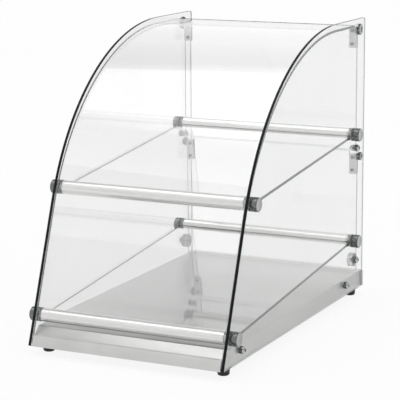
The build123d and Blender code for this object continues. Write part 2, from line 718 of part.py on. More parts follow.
def hinge_pads(y, axis):
    """Thin pads in front of and behind the glass."""
    top = axis + HINGE_ABOVE_AXIS
    pads = []
    for y_from in (y - DOOR_THICKNESS / 2 - HINGE_PAD, y + DOOR_THICKNESS / 2):
        pad = hinge_leaf(y_from, HINGE_PAD, axis) - hinge_block_space(y, axis, top, NOTCH_GAP)
        pads.append(screw_holes(pad, y, axis, HINGE_SCREW_DIAMETER + HOLE_GAP))
    return pads


def hinge_screws(y, axis):
    """Round-headed screws through both plates, heads on the inner side."""
    face = y - DOOR_THICKNESS / 2 - HINGE_PAD - HINGE_PLATE
    tip = y + DOOR_THICKNESS / 2 + HINGE_PAD + HINGE_PLATE + HINGE_NUT_HEIGHT + FIXING_TIP
    screws = []
    for x, z in hinge_screw_places(axis):
        head = pin_y(face - HINGE_HEAD_HEIGHT, face, HINGE_HEAD_DIAMETER, x, z)
        head = fillet(head.edges().sort_by(Axis.Y)[0], HINGE_HEAD_HEIGHT / 2)
        screws.append(head + pin_y(face, tip, HINGE_SCREW_DIAMETER, x, z))
    return screws


def hinge_nuts(y, axis):
    """Nuts on the rear plate."""
    seat = y + DOOR_THICKNESS / 2 + HINGE_PAD + HINGE_PLATE
    nuts = []
    for x, z in hinge_screw_places(axis):
        plane = Plane(origin=(x, seat, z), x_dir=(1, 0, 0), z_dir=(0, 1, 0))
        nuts.append(hex_nut(plane, HINGE_NUT_WIDTH, HINGE_NUT_HEIGHT, HINGE_SCREW_DIAMETER))
    return nuts


def door_glass(y, bottom, top, axis):
    """Door pane with rounded lower corners, cut out at the top corners for the pivot blocks."""
    half = DOOR_THICKNESS / 2
    glass = block((-DOOR_HALF, DOOR_HALF), (y - half, y + half), (bottom, top))
    glass = fillet(glass.edges().filter_by(Axis.Y).sort_by(Axis.Z)[:2], DOOR_CORNER)
    space = hinge_block_space(y, axis, top, NOTCH_GAP)
    glass = glass - space - mirror(space, about=Plane.YZ)
    x, z = hinge_screw_places(axis)[1]
    hole = pin_y(y - half, y + half, HINGE_SCREW_DIAMETER + GLASS_HOLE_GAP, x, z)
    return glass - hole - mirror(hole, about=Plane.YZ)


def save_door(level, y, bottom, top, axis, ledge):
    """Write all nodes of one door."""
    save(f"{level}_door_glass", [door_glass(y, bottom, top, axis)])
    save(f"{level}_hinge_bodies", both_sides(hinge_body(y, axis, ledge)))
    save(f"{level}_hinge_clamp_plates", both_sides(hinge_clamp_plate(y, axis)))
    pads = hinge_pads(y, axis)
    save(f"{level}_hinge_pads", pads + mirrored(pads))
    screws = hinge_screws(y, axis)
    save(f"{level}_hinge_screws", screws + mirrored(screws))
    nuts = hinge_nuts(y, axis)
    save(f"{level}_hinge_nuts", nuts + mirrored(nuts))


def save_carcass():
    """Write the glass carcass, the base and the feet."""
    right_glass = side_glass()
    save("side_glass_right", [right_glass])
    save("side_glass_left", mirrored([right_glass]))
    save("front_glass", [front_glass()])
    save("pane_edge_seals", both_sides(pane_edge_seal()))
    save("pane_seat_strip", [pane_seat_strip()])
    save("base_shell", [base_shell()])
    save("base_front_channel", [base_front_channel()])
    right_rail = foot_rail()
    save("foot_rail_right", [right_rail])
    save("foot_rail_left", mirrored([right_rail]))
    for name, (x, y) in zip(("front_left", "front_right", "rear_left", "rear_right"), foot_places()):
        save(f"foot_{name}", [Location((x, y, 0)) * foot()])
    save("foot_screws", [Location((x, y, 0)) * foot_screw() for x, y in foot_places()])
    save("foot_nuts", [Location((x, y, 0)) * foot_nut() for x, y in foot_places()])
    save("base_fixing_screws", pairs(fixing_screw, FIXINGS))
    save("base_spacers", pairs(base_spacer, FIXINGS))
    save("base_fixing_nuts", pairs(fixing_nut, FIXINGS))
    save("base_fixing_washers", pairs(fixing_washer, FIXINGS))


def pairs(make, places):
    """Right and left copies of a small piece at each (y, z) place."""
    return [piece for y, z in places for piece in both_sides(make(y, z))]


def save_bars():
    """Write the bars, what holds their ends and the shelves."""
    ends = [(y, z) for y, z, drop in BARS.values()]
    for name in BARS:
        save(f"bar_{name}", [bar(*name.split("_"))])
        y, z, drop = BARS[name]
        save(f"knobs_{name}", both_sides(end_knob(y, z)))
    save("bar_washers", pairs(bar_washer, ends))
    save("bar_inner_gaskets", pairs(inner_gasket, ends))
    save("bar_outer_gaskets", pairs(outer_gasket, ends))
    save("bar_studs", pairs(bar_stud, ends))
    save("shelf_glass_upper", [shelf_glass("upper")])
    save("shelf_glass_lower", [shelf_glass("lower")])


def save_stops_and_pivots():
    """Write the door stops and the pivots."""
    save("upper_door_stops", both_sides(upper_stop(*STOPS["upper"])))
    save("lower_door_stops", both_sides(lower_stop(*STOPS["lower"])))
    save("door_stop_screws", pairs(stop_screw, STOPS.values()))
    save("door_stop_washers", pairs(stop_washer, STOPS.values()))
    save("pivot_pins", pairs(pivot_pin, PIVOTS.values()))
    save("pivot_bushes", pairs(pivot_bush, PIVOTS.values()))
    save("upper_pivot_caps", both_sides(pivot_cap(UPPER_CAP_DIAMETER, UPPER_CAP_LENGTH, *PIVOTS["upper"])))
    save("lower_pivot_caps", both_sides(pivot_cap(LOWER_CAP_DIAMETER, LOWER_CAP_LENGTH, *PIVOTS["lower"])))


os.makedirs("parts", exist_ok=True)
save_carcass()
save_bars()
save_stops_and_pivots()
save_door("upper", UPPER_DOOR_Y, UPPER_DOOR_BOTTOM, UPPER_DOOR_TOP, UPPER_AXIS_HEIGHT, ledge=False)
save_door("lower", LOWER_DOOR_Y, LOWER_DOOR_BOTTOM, LOWER_DOOR_TOP, LOWER_AXIS_HEIGHT, ledge=True)
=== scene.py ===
"""Looks, lamps and camera of a glass display cabinet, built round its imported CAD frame."""

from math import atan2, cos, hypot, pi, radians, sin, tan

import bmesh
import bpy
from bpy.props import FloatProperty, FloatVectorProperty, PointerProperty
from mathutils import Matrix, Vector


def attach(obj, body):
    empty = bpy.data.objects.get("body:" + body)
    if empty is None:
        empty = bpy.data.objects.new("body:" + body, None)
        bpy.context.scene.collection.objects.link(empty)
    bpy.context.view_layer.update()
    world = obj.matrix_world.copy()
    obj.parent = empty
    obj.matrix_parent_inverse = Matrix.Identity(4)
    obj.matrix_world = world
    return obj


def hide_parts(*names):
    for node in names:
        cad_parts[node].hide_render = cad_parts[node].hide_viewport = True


bl_info = {
    "name": "Display cabinet",
    "version": (1, 0, 0),
    "blender": (4, 5, 0),
    "location": "3D View > Sidebar > Cabinet",
    "description": "Glass display cabinet with a curved pane, two shelves and two rear doors",
    "category": "Object",
}

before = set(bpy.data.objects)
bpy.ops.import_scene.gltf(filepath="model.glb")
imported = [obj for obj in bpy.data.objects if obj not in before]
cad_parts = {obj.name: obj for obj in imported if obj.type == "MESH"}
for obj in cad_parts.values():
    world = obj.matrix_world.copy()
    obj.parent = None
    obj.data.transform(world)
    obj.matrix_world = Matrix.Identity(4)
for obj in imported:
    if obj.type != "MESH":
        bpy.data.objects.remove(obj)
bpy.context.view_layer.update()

# Shapes are drawn in millimetres from the bottom front corner of the side glasses, with x to the right,
# y to the rear and z up. TO_FRAME takes them to metres and to the frame's origin on the floor.
BASE_DEPTH = 601.0
FOOT_HEIGHT = 15.5
TO_FRAME = Matrix.Scale(0.001, 4) @ Matrix.Translation((0, -BASE_DEPTH / 2, FOOT_HEIGHT))

# Drawing planes: local x and y lie in the plane, local z is the direction a shape is drawn out in
SIDE_PLANE = Matrix(((0, 0, 1, 0), (1, 0, 0, 0), (0, 1, 0, 0), (0, 0, 0, 1)))
DOOR_PLANE = Matrix(((1, 0, 0, 0), (0, 0, -1, 0), (0, 1, 0, 0), (0, 0, 0, 1)))
TO_LEFT = Matrix.Rotation(pi, 4, "Z")
POINT_UP = Matrix.Rotation(-pi / 2, 4, "Y")

# Carcass sizes that follow the frame
GLASS_INSIDE = 170.0
GLASS_OUTSIDE = 175.0
SIDE_HEIGHT = 492.0
SIDE_DEPTH = 596.0
PANE_HALF = 169.0
PANE_DROP = 10.0
PANE_INSET = 1.0
PANE_FOOT = 3.8
PANE_REAR = 548.0
REAR_BAND = 6.0
FOOT_BAND = 1.0
BASE_HALF = 168.5
BASE_HEIGHT = 29.5
BASE_INSET = 5.9
HALF_FOLD = tan(radians(22.5))
LIP_HEIGHT = 17.0
LIP_INSET = 0.1
CHANNEL_SHEET = 0.8
CHANNEL_REAR_HEIGHT = 14.0
CHANNEL_ARRIS = 0.2
LIP_ROUNDING = 0.3
END_FRONT = 596.3
END_HEIGHT = 27.5
END_ROUNDING = 0.5
BAR_HALF = 163.5
BAR_END = 167.0
BAR_NECK = 14.0
BAR_CHAMFER = 0.4
STUD_BORE = 3.05
SLOT_WIDTH = 5.6
SLOT_DEPTH = 8.0
SHELF_GAP = 0.2
SHELF_HALF = 168.0
SHELF_NOTCH_X = 161.75
SHELF_NOTCH_Y = 13.5
SHELF_CORNER = 1.0
DOOR_HALF = 168.3
DOOR_NOTCH = 14.4
DOOR_CORNER = 1.5
BLOCK_DROP = 5.9
GASKET = 0.5

# Bars as (y, z) of the axis, and how far under it the middle of the shelf slot lies
BARS = {
    "upper_front": (109.04, 243.2, 3.2),
    "lower_front": (34.67, 45.0, 4.8),
    "upper_rear": (551.2, 287.0, 2.4),
    "lower_rear": (551.2, 92.7, 1.0),
}
FIXINGS = ((66.0, 19.0), (513.0, 19.0))
STOPS = {"upper": (557.5, 262.0), "lower": (558.05, 56.5)}
PIVOTS = {"upper": (565.3, 473.5), "lower": (572.6, 245.0)}
DOORS = {"upper": (257.0, 478.0), "lower": (31.5, 254.0)}
HINGE_SCREW_X = 160.5
HINGE_SCREW_DROPS = (2.5, 26.0)
FOOT_X = 157.5
FOOT_ROWS = (36.7, 579.5)
FOOT_ROUNDING = 3.0
FOOT_BORE = 2.65
FOOT_WELL = 4.0
FOOT_SEAT = -7.5

# Diameters of the drilled holes
STUD_HOLE = 8.0
FIXING_HOLE = 6.0
STOP_HOLE = 5.0
PIVOT_HOLE = 9.4
HINGE_HOLE = 5.0

# What metal and glass mirror of the studio, as (height of the direction, brightness), in front and behind.
# Both were fitted by comparing the highlights and dark streaks on bars and knobs with the photograph's.
MIRROR_MOST = 2.0
FRONT_MIRROR = (
    (0.0, 0.85), (0.2, 0.92), (0.5, 0.95), (0.68, 0.6), (0.78, 0.35),
    (0.83, 0.45), (0.86, 1.6), (0.91, 1.6), (0.96, 0.8), (1.0, 0.75),
)
REAR_MIRROR = (
    (0.0, 0.85), (0.2, 1.05), (0.6, 0.85), (0.8, 0.35),
    (0.85, 1.2), (0.91, 1.3), (0.96, 0.8), (1.0, 0.75),
)
MIRROR_BLEND = 0.12
RIGHT_FADE = (0.2, 0.9)
RIGHT_LEVEL = 0.55

# Studio: half the floor's side in metres, how much of the floor and of its mirror image is plain white
FLOOR_HALF = 14.0
FLOOR_WHITE = 0.88
FLOOR_MIRRORED = 0.6
LAMP_DIRECTION = (0.1, 0.2, -1.0)
LAMP_WIDTH = radians(75)
SENSOR_WIDTH = 36
BOUNCES = 24

# How finely curves are divided, and from which angle an edge is shaded sharp, rounded or a bar's rim
ARC_STEPS = 120
HOLE_SIDES = 40
TURN_STEPS = 72
SHARP_ANGLE = radians(28)
CORNER_ANGLE = radians(40)
RIM_ANGLE = 1.0

# Lengths in millimetres under TINY are none, and cosines over these are of a face that looks along an axis
TINY = 1e-3
SQUARE = 0.99
DEAD_SQUARE = 0.999

# Shader values: glass, how far one noise and two added noises reach, when a face looks up, and bare metal
GLASS_IOR = 1.5
ONE_NOISE = (0.3, 0.7)
TWO_NOISES = (0.6, 1.4)
LOOKS_UP = 0.85
METAL = {"Metallic": 1.0}


def linear(written):
    """Linear red, green and blue of an sRGB hex colour."""
    channels = [int(written[i : i + 2], 16) / 255 for i in (1, 3, 5)]
    return tuple(c / 12.92 if c <= 0.04045 else ((c + 0.055) / 1.055) ** 2.4 for c in channels)


def length(name, description, default):
    """A length in metres from a size in millimetres."""
    return FloatProperty(
        name=name, description=description, default=default / 1000, min=0, unit="LENGTH", subtype="DISTANCE"
    )


def angle(name, description, degrees):
    """An angle from degrees."""
    return FloatProperty(name=name, description=description, default=radians(degrees), subtype="ANGLE")


def colour(name, description, default):
    """A colour from an sRGB hex value."""
    return FloatVectorProperty(
        name=name, description=description, default=linear(default), min=0, max=1, size=3, subtype="COLOR"
    )


class CabinetSizes(bpy.types.PropertyGroup):
    """Sizes of the visible pieces."""

    bend_radius: length("Bend radius", "Outer radius of the big bend in the glass", 402.0)
    front_lean: angle("Front lean", "How far the front leans back", 20.2)
    side_glass: length("Side glass", "Thickness of the side glasses", 5.0)
    pane: length("Pane", "Thickness of the curved pane", 4.0)
    shelf: length("Shelf", "Thickness of the shelves", 5.0)
    door: length("Door", "Thickness of the doors", 4.0)
    arris: length("Arris", "Chamfer ground on each glass edge", 0.4)
    top_corner: length("Top rear corner", "Radius of the side glass at its top rear corner", 5.0)
    small_corner: length("Small corner", "Radius of the other glass corners", 2.0)
    bar: length("Bar", "Diameter of the round bars", 22.5)
    knob: length("Knob", "Diameter of the end knobs", 23.5)
    knob_length: length("Knob length", "How far a knob stands out", 10.5)
    knob_chamfer: length("Knob chamfer", "Chamfer round a knob's outer end", 0.8)
    sheet: length("Base sheet", "Thickness of the base's sheet metal", 1.2)
    base_bend: length("Base bend", "Radius of the folds across the base", 2.0)
    base_edge: length("Base edge", "Rounding along the sides of the base", 0.7)
    dome: length("Screw dome", "Diameter of the domed screw heads", 12.5)
    foot_top: length("Foot top", "Diameter of a foot at its top", 21.0)
    foot_bottom: length("Foot bottom", "Diameter of a foot at the floor", 19.0)


class CabinetColours(bpy.types.PropertyGroup):
    """Colours of the finishes."""

    glass: colour("Glass", "Tint of the side glasses", "#F2F3F2")
    pane: colour("Pane glass", "Tint of the pane, shelves and doors", "#FEFEFE")
    # Painted shade: the front and top edge colours are near black and grey tints of one glass edge, for the
    # dark look into the depth of the glass; the top edge, which faces up, is painted lighter.
    front_edge: colour("Front edge", "Polished front edge of the side glasses", "#14181A")
    # Painted shade: the cut and rear edge colours are dark tints for the dark lines of shelf and pane edges
    # seen into the glass; their grinding lines are real.
    shaded_cut_edge: colour("Cut edge", "Ground edge of shelves and pane", "#3C4140")
    rear_edge: colour("Rear edge", "Ground band along the rear edge of the curved pane", "#2B2F2E")
    top_edge: colour("Top edge", "Polished top edge of the side glasses", "#7F8483")
    pale_edge: colour("Pale edge", "Ground edge of doors and rear edges", "#B4B8B7")
    steel: colour("Steel", "Brushed stainless steel of the base", "#CFCFCE")
    bar: colour("Bar", "Satin anodised aluminium of the bars", "#E6E6E5")
    turned: colour("Turned steel", "Turned steel of knobs and washers", "#A6A7A7")
    # Painted shade: a darker copy of the turned steel, for the round sides of knobs, washers and pivot caps
    # and the rims and drive recesses of domed screws.
    turned_side: colour("Turned side", "Polished round sides of knobs and washers", "#747676")
    hinge: colour("Hinge", "Satin plated hinge plates", "#D6D7D6")
    fastener: colour("Fastener", "Bright steel of the domed screws", "#BFC0C0")
    dark_screw: colour("Hinge screw", "Darker plated hinge screws", "#747676")
    rubber: colour("Rubber", "Black rubber of the feet", "#141516")
    nylon: colour("Nylon", "Clear nylon of stops, bushes and gaskets", "#EDEFEE")


class CabinetStudio(bpy.types.PropertyGroup):
    """Floor, light and camera."""

    floor: colour("Floor", "Colour of the plain floor", "#F4F4F4")
    backdrop: colour("Backdrop", "Colour of the backdrop", "#FFFFFF")
    lens: FloatProperty(name="Lens", description="Focal length in mm on a 36 mm frame", default=153.2)
    turn: angle("Turn", "How far the camera stands to the right", 26.1045)
    pitch: angle("Pitch", "How far the camera looks down", 11.4817)
    roll: angle("Roll", "How far the camera tips", -0.3676)
    eye: FloatVectorProperty(
        name="Eye",
        description="The cabinet's front corner as the camera has it: to its right, above it, in front of it",
        default=(-0.121144, -0.2504798, 2.680627),
        size=3,
        unit="LENGTH",
        subtype="XYZ",
    )
    world_light: FloatProperty(
        name="World light", description="Strength of the soft light all round", default=0.75
    )
    overhead: FloatProperty(name="Overhead", description="Strength of the overhead lamp", default=0.8)


def sizes():
    """The sizes group, in metres."""
    return bpy.context.scene.cabinet_sizes


def colours():
    """The colours group."""
    return bpy.context.scene.cabinet_colours


def mm(name):
    """One size in millimetres."""
    return getattr(sizes(), name) * 1000


# Materials


def add(tree, kind, inputs=None, **settings):
    """Add a node, set it up, and give each named input a value or a link."""
    node = tree.nodes.new(kind)
    for key, value in settings.items():
        setattr(node, key, value)
    for key, value in (inputs or {}).items():
        if isinstance(value, bpy.types.NodeSocket):
            tree.links.new(value, node.inputs[key])
        else:
            node.inputs[key].default_value = value
    return node


def blank(name):
    """An empty node material and its tree."""
    made = bpy.data.materials.new(name)
    made.use_nodes = True
    made.node_tree.nodes.clear()
    return made, made.node_tree


def rgba(value, factor=1.0):
    """A colour property as a socket value, made lighter or darker by a factor."""
    return (*(min(1, channel * factor) for channel in value), 1)


def grain(tree, size, detail=2.0):
    """Noise whose features have this size in millimetres along x, y and z."""
    spot = add(tree, "ShaderNodeTexCoord").outputs["Object"]
    inputs = {"Vector": spot, "Scale": [1000 / step for step in size]}
    mapped = add(tree, "ShaderNodeMapping", inputs).outputs[0]
    return add(tree, "ShaderNodeTexNoise", {"Vector": mapped, "Scale": 1.0, "Detail": detail}).outputs[0]


def lets_lamps_through(tree, shader, tint):
    """Glass as it is for sight and mirrors, with a clear stand-in for shadows and soft light."""
    path = add(tree, "ShaderNodeLightPath")
    inputs = {0: path.outputs["Is Shadow Ray"], 1: path.outputs["Is Diffuse Ray"]}
    soft = add(tree, "ShaderNodeMath", inputs, operation="MAXIMUM").outputs[0]
    clear = add(tree, "ShaderNodeBsdfTransparent", {"Color": tint}).outputs[0]
    return add(tree, "ShaderNodeMixShader", {0: soft, 1: shader.outputs[0], 2: clear})


def coat(
    tree, tint, shade, tone, fixed, reach=ONE_NOISE, rough=None, gloss=None, relief=None, depth=0, lamps=None
):
    """Finish a material whose colour, roughness and relief follow patterns.

    The tone takes the tint between two shades. The gloss, or else the tone, takes the roughness between two
    values. The relief is depth millimetres deep. Lamps shine through a material that has a colour for them.
    """
    low, high = reach
    share = add(tree, "ShaderNodeMapRange", {"Value": tone, "From Min": low, "From Max": high}).outputs[0]
    dark, light = (rgba(tint, factor) for factor in shade)
    mixed = add(tree, "ShaderNodeMix", {0: share, 6: dark, 7: light}, data_type="RGBA")
    inputs = {"Base Color": mixed.outputs[2], **fixed}
    if rough:
        smooth, matt = rough
        pattern = tone if gloss is None else gloss
        ends = {"Value": pattern, "From Min": low, "From Max": high, "To Min": smooth, "To Max": matt}
        inputs["Roughness"] = add(tree, "ShaderNodeMapRange", ends).outputs[0]
    if relief is not None:
        raised = {"Height": relief, "Distance": depth / 1000, "Strength": 0.3}
        inputs["Normal"] = add(tree, "ShaderNodeBump", raised).outputs[0]
    shader = add(tree, "ShaderNodeBsdfPrincipled", inputs)
    if lamps is not None:
        shader = lets_lamps_through(tree, shader, lamps)
    add(tree, "ShaderNodeOutputMaterial", {"Surface": shader.outputs[0]})


def float_glass(tree, tint):
    """Clear float glass, drawn on molten tin: nearly colourless, with a very faint cloudy tint."""
    fixed = {"Roughness": 0.0, "IOR": GLASS_IOR, "Transmission Weight": 1.0}
    coat(tree, tint, (0.988, 1.0), grain(tree, (90, 90, 90)), fixed, lamps=rgba(tint))


def edge_glass(tree, tint, roughness, mirror):
    """Cut glass edge with fine grinding lines; where it is dark, its tint is painted shade for the look into
    the depth of the sheet.
    """
    # Real grinding lines are too fine to show, so they are drawn 0.5 mm wide
    lines = grain(tree, (0.5, 9, 9), 3.0)
    fixed = {"IOR": GLASS_IOR, "Specular IOR Level": mirror}
    coat(tree, tint, (0.85, 1.15), lines, fixed, rough=(roughness * 0.8, roughness * 1.3))


def brushed_steel(tree, tint):
    """Stainless sheet brushed along its length: soft streaks that run along each face."""
    # Real brush lines are too fine to show, so they are drawn 0.7 mm wide. All run level: along x on the
    # faces that look up, and along x or y on the upright ones.
    upright = grain(tree, (140, 140, 0.7), 3.0)
    level = grain(tree, (140, 0.7, 140), 3.0)
    facing = add(tree, "ShaderNodeNewGeometry").outputs["Normal"]
    height = add(tree, "ShaderNodeSeparateXYZ", {0: facing}).outputs[2]
    flat = add(tree, "ShaderNodeMath", {0: height, 1: LOOKS_UP}, operation="GREATER_THAN").outputs[0]
    inputs = {0: flat, 2: upright, 3: level}
    lines = add(tree, "ShaderNodeMix", inputs, data_type="FLOAT").outputs[0]
    cloud = grain(tree, (60, 60, 60))
    tone = add(tree, "ShaderNodeMath", {0: lines, 1: cloud}, operation="ADD").outputs[0]
    coat(tree, tint, (0.88, 1.08), tone, METAL, TWO_NOISES, (0.3, 0.42), relief=lines, depth=0.02)


def anodised_bar(tree, tint):
    """Extruded aluminium, satin anodised: fine die lines along the bar and a soft wide highlight."""
    # Real die lines are too fine to show, so they are drawn 0.8 mm wide
    lines = grain(tree, (160, 0.8, 0.8), 3.0)
    coat(tree, tint, (0.93, 1.04), lines, METAL, rough=(0.2, 0.27), relief=lines, depth=0.01)


def turned_metal(tree, tint, rough, ring_width, depth):
    """Metal turned on a lathe: fine rings round the axis, from the distance along the turned outline."""
    # Real turning rings are too fine to show, so they are drawn ring_width millimetres wide
    along = add(tree, "ShaderNodeAttribute", attribute_name="turn").outputs["Fac"]
    inputs = {"W": along, "Scale": 1 / ring_width, "Detail": 3.0}
    rings = add(tree, "ShaderNodeTexNoise", inputs, noise_dimensions="1D").outputs[0]
    cloud = grain(tree, (4, 4, 4))
    tone = add(tree, "ShaderNodeMath", {0: rings, 1: cloud}, operation="ADD").outputs[0]
    coat(tree, tint, (0.86, 1.08), tone, METAL, TWO_NOISES, rough, relief=rings, depth=depth)


def plated_metal(tree, tint, rough):
    """Pressed or cast metal with satin nickel plating: a fine even grain."""
    # The real grain is too fine to show, so it is drawn 0.6 mm wide
    fine = grain(tree, (0.6, 0.6, 0.6), 3.0)
    cloud = grain(tree, (8, 8, 8))
    tone = add(tree, "ShaderNodeMath", {0: fine, 1: cloud}, operation="ADD").outputs[0]
    coat(tree, tint, (0.88, 1.06), tone, METAL, TWO_NOISES, rough, relief=fine, depth=0.01)


def moulded_rubber(tree, tint):
    """Moulded black rubber: a fine matt grain with a soft sheen on its rounded edges."""
    fine = grain(tree, (0.4, 0.4, 0.4), 3.0)
    dust = grain(tree, (5, 5, 5))
    coat(tree, tint, (1.0, 1.9), dust, {}, rough=(0.32, 0.5), gloss=fine, relief=fine, depth=0.05)


def clear_nylon(tree, tint):
    """Moulded clear nylon: milky, lets light through, with a soft moulded skin."""
    cloud = grain(tree, (3, 3, 3), 3.0)
    fixed = {"IOR": GLASS_IOR, "Transmission Weight": 0.85}
    lamps = rgba(tint, 0.9)
    coat(tree, tint, (0.9, 1.0), cloud, fixed, rough=(0.22, 0.34), relief=cloud, depth=0.03, lamps=lamps)


# Each finish has the colour of its own name, and is a maker, the material's name and the maker's settings
FINISHES = {
    "glass": (float_glass, "clear_float_glass"),
    "pane": (float_glass, "white_float_glass"),
    # Painted shade: the dark edge finishes below are tints that stand in for the dark look into the depth of
    # the glass.
    "front_edge": (edge_glass, "polished_front_edge", 0.3, 0.12),
    "shaded_cut_edge": (edge_glass, "ground_glass_edge", 0.3, 0.5),
    "rear_edge": (edge_glass, "ground_rear_edge", 0.5, 0.05),
    "top_edge": (edge_glass, "polished_top_edge", 0.3, 0.25),
    "pale_edge": (edge_glass, "pale_glass_edge", 0.3, 0.5),
    "steel": (brushed_steel, "brushed_stainless_steel"),
    "bar": (anodised_bar, "satin_anodised_aluminium"),
    "turned": (turned_metal, "turned_stainless_steel", (0.1, 0.2), 0.5, 0.015),
    # Painted shade: the darker tint of this polished finish stands in for the dark look of round sides and
    # recesses.
    "turned_side": (turned_metal, "polished_steel_side", (0.06, 0.14), 0.5, 0.008),
    "fastener": (turned_metal, "polished_stainless_steel", (0.05, 0.11), 0.8, 0.006),
    "dark_screw": (turned_metal, "dark_nickel_plate", (0.2, 0.32), 0.5, 0.01),
    "hinge": (plated_metal, "satin_nickel_plate", (0.26, 0.38)),
    "rubber": (moulded_rubber, "moulded_black_rubber"),
    "nylon": (clear_nylon, "clear_moulded_nylon"),
}
made_finishes = {}


def finish_of(name):
    """A finish, made the first time it is asked for."""
    if name not in made_finishes:
        maker, title, *settings = FINISHES[name]
        made_finishes[name], tree = blank(title)
        maker(tree, getattr(colours(), name), *settings)
    return made_finishes[name]


# Shapes


def lean_point(inset, height):
    """Point at a height, this far inside the leaning front edge."""
    lean = sizes().front_lean
    return (inset / cos(lean) + height * tan(lean), height)


def front_bend(inset, drop):
    """Start and centre of the bend that touches the leaning edge at this inset and the top at this drop."""
    lean = sizes().front_lean
    radius = mm("bend_radius")
    height = SIDE_HEIGHT - drop - radius
    centre = ((inset + radius + height * sin(lean)) / cos(lean), height)
    return (centre[0] - radius * cos(lean), centre[1] + radius * sin(lean)), centre


def joined(bm, points, before=None):
    """Vertices at these flat points, joined one to the next, and to one before them."""
    verts = [bm.verts.new((x, y, 0)) for x, y in points]
    chain = ([before] if before else []) + verts
    for first, second in zip(chain, chain[1:]):
        bm.edges.new((first, second))
    return verts


def bend(bm, start, centre, sweep):
    """Spin one vertex about a centre, and give the far end of the arc."""
    turned_part = bmesh.ops.spin(
        bm, geom=[start], cent=(*centre, 0), axis=(0, 0, 1), dvec=(0, 0, 0), angle=sweep, steps=ARC_STEPS
    )
    return next(part for part in turned_part["geom_last"] if isinstance(part, bmesh.types.BMVert))


def flat_face(bm, points):
    """Face with this flat outline, whose corners can then be rounded."""
    verts = joined(bm, points)
    bm.edges.new((verts[-1], verts[0]))
    bmesh.ops.contextual_create(bm, geom=bm.edges[:])


def soften(bm, parts, width, steps, affect="EDGES"):
    """Chamfer or round these edges or corners."""
    bmesh.ops.bevel(
        bm, geom=parts, offset=width, offset_type="OFFSET", segments=steps, profile=0.5, affect=affect,
        material=-1,
    )


def round_corners(bm, places, radius, steps=6):
    """Round the corners of a flat outline that lie at these places."""
    for x, y in places:
        corner = min(bm.verts, key=lambda v: hypot(v.co.x - x, v.co.y - y))
        soften(bm, [corner], radius, steps, "VERTICES")


def rims(bm):
    """Edges that lie level, at the two ends of what was drawn out."""
    return [edge for edge in bm.edges if abs(edge.verts[0].co.z - edge.verts[1].co.z) < TINY]


def thicken(bm, depth):
    """Draw flat faces out, half to each side of their plane."""
    drawn = bmesh.ops.extrude_face_region(bm, geom=bm.faces[:])["geom"]
    moved = [part for part in drawn if isinstance(part, bmesh.types.BMVert)]
    bmesh.ops.translate(bm, verts=moved, vec=(0, 0, depth))
    bmesh.ops.translate(bm, verts=bm.verts[:], vec=(0, 0, -depth / 2))
    bmesh.ops.recalc_face_normals(bm, faces=bm.faces[:])


def draw_out(bm, thickness, arris=0.0, holes=()):
    """Fill closed outlines, drill holes, give them a thickness and chamfer both rims."""
    bmesh.ops.delete(bm, geom=bm.faces[:], context="FACES_ONLY")
    for x, y, diameter in holes:
        spot = Matrix.Translation((x, y, 0))
        bmesh.ops.create_circle(bm, cap_ends=False, segments=HOLE_SIDES, radius=diameter / 2, matrix=spot)
    bmesh.ops.triangle_fill(bm, use_beauty=True, use_dissolve=False, edges=bm.edges[:], normal=(0, 0, 1))
    thicken(bm, thickness - 2 * arris)
    if not arris:
        return
    for side in (-1, 1):
        caps = [face for face in bm.faces if face.normal.z * side > SQUARE]
        bmesh.ops.inset_region(
            bm, faces=caps, thickness=arris, depth=arris, use_boundary=True, use_even_offset=True
        )


def place(bm, matrix):
    """Move everything drawn so far."""
    bmesh.ops.transform(bm, matrix=matrix, verts=bm.verts[:])


def stamp(bm, part, matrices):
    """Add a copy of a finished part to a shape at each place, and free the part."""
    held = bpy.data.meshes.new("held")
    part.to_mesh(held)
    part.free()
    for matrix in matrices:
        moved = held.copy()
        moved.transform(matrix)
        bm.from_mesh(moved)
        bpy.data.meshes.remove(moved)
    bpy.data.meshes.remove(held)


def turned(outline):
    """Spin an outline of (along, radius) points about the x axis."""
    bm = bmesh.new()
    layer = bm.verts.layers.float.new("turn")
    verts = [bm.verts.new((along, radius, 0)) for along, radius in outline]
    travelled = 0.0
    for before, vert in zip(verts, verts[1:]):
        travelled += (vert.co - before.co).length
        vert[layer] = travelled
    edges = [bm.edges.new(pair) for pair in zip(verts, verts[1:])]
    bmesh.ops.spin(
        bm, geom=verts + edges, cent=(0, 0, 0), axis=(1, 0, 0), dvec=(0, 0, 0), angle=2 * pi,
        steps=TURN_STEPS, use_merge=True,
    )
    bmesh.ops.remove_doubles(bm, verts=bm.verts[:], dist=TINY)
    bmesh.ops.recalc_face_normals(bm, faces=bm.faces[:])
    return bm


def both_sides(*spots):
    """Places of a turned piece at the right end of the cabinet and at the left, at each spot (y, z)."""
    places = [Matrix.Translation((0, y, z)) for y, z, *_ in spots]
    return [matrix for right in places for matrix in (right, right @ TO_LEFT)]


def arc_points(centre, radius, start, end, steps=6):
    """A few points on a small arc of an outline."""
    turns = [start + (end - start) * step / steps for step in range(steps + 1)]
    return [(centre[0] + radius * cos(turn), centre[1] + radius * sin(turn)) for turn in turns]


def in_scene(name, data):
    """New object in the scene."""
    made = bpy.data.objects.new(name, data)
    bpy.context.scene.collection.objects.link(made)
    return made


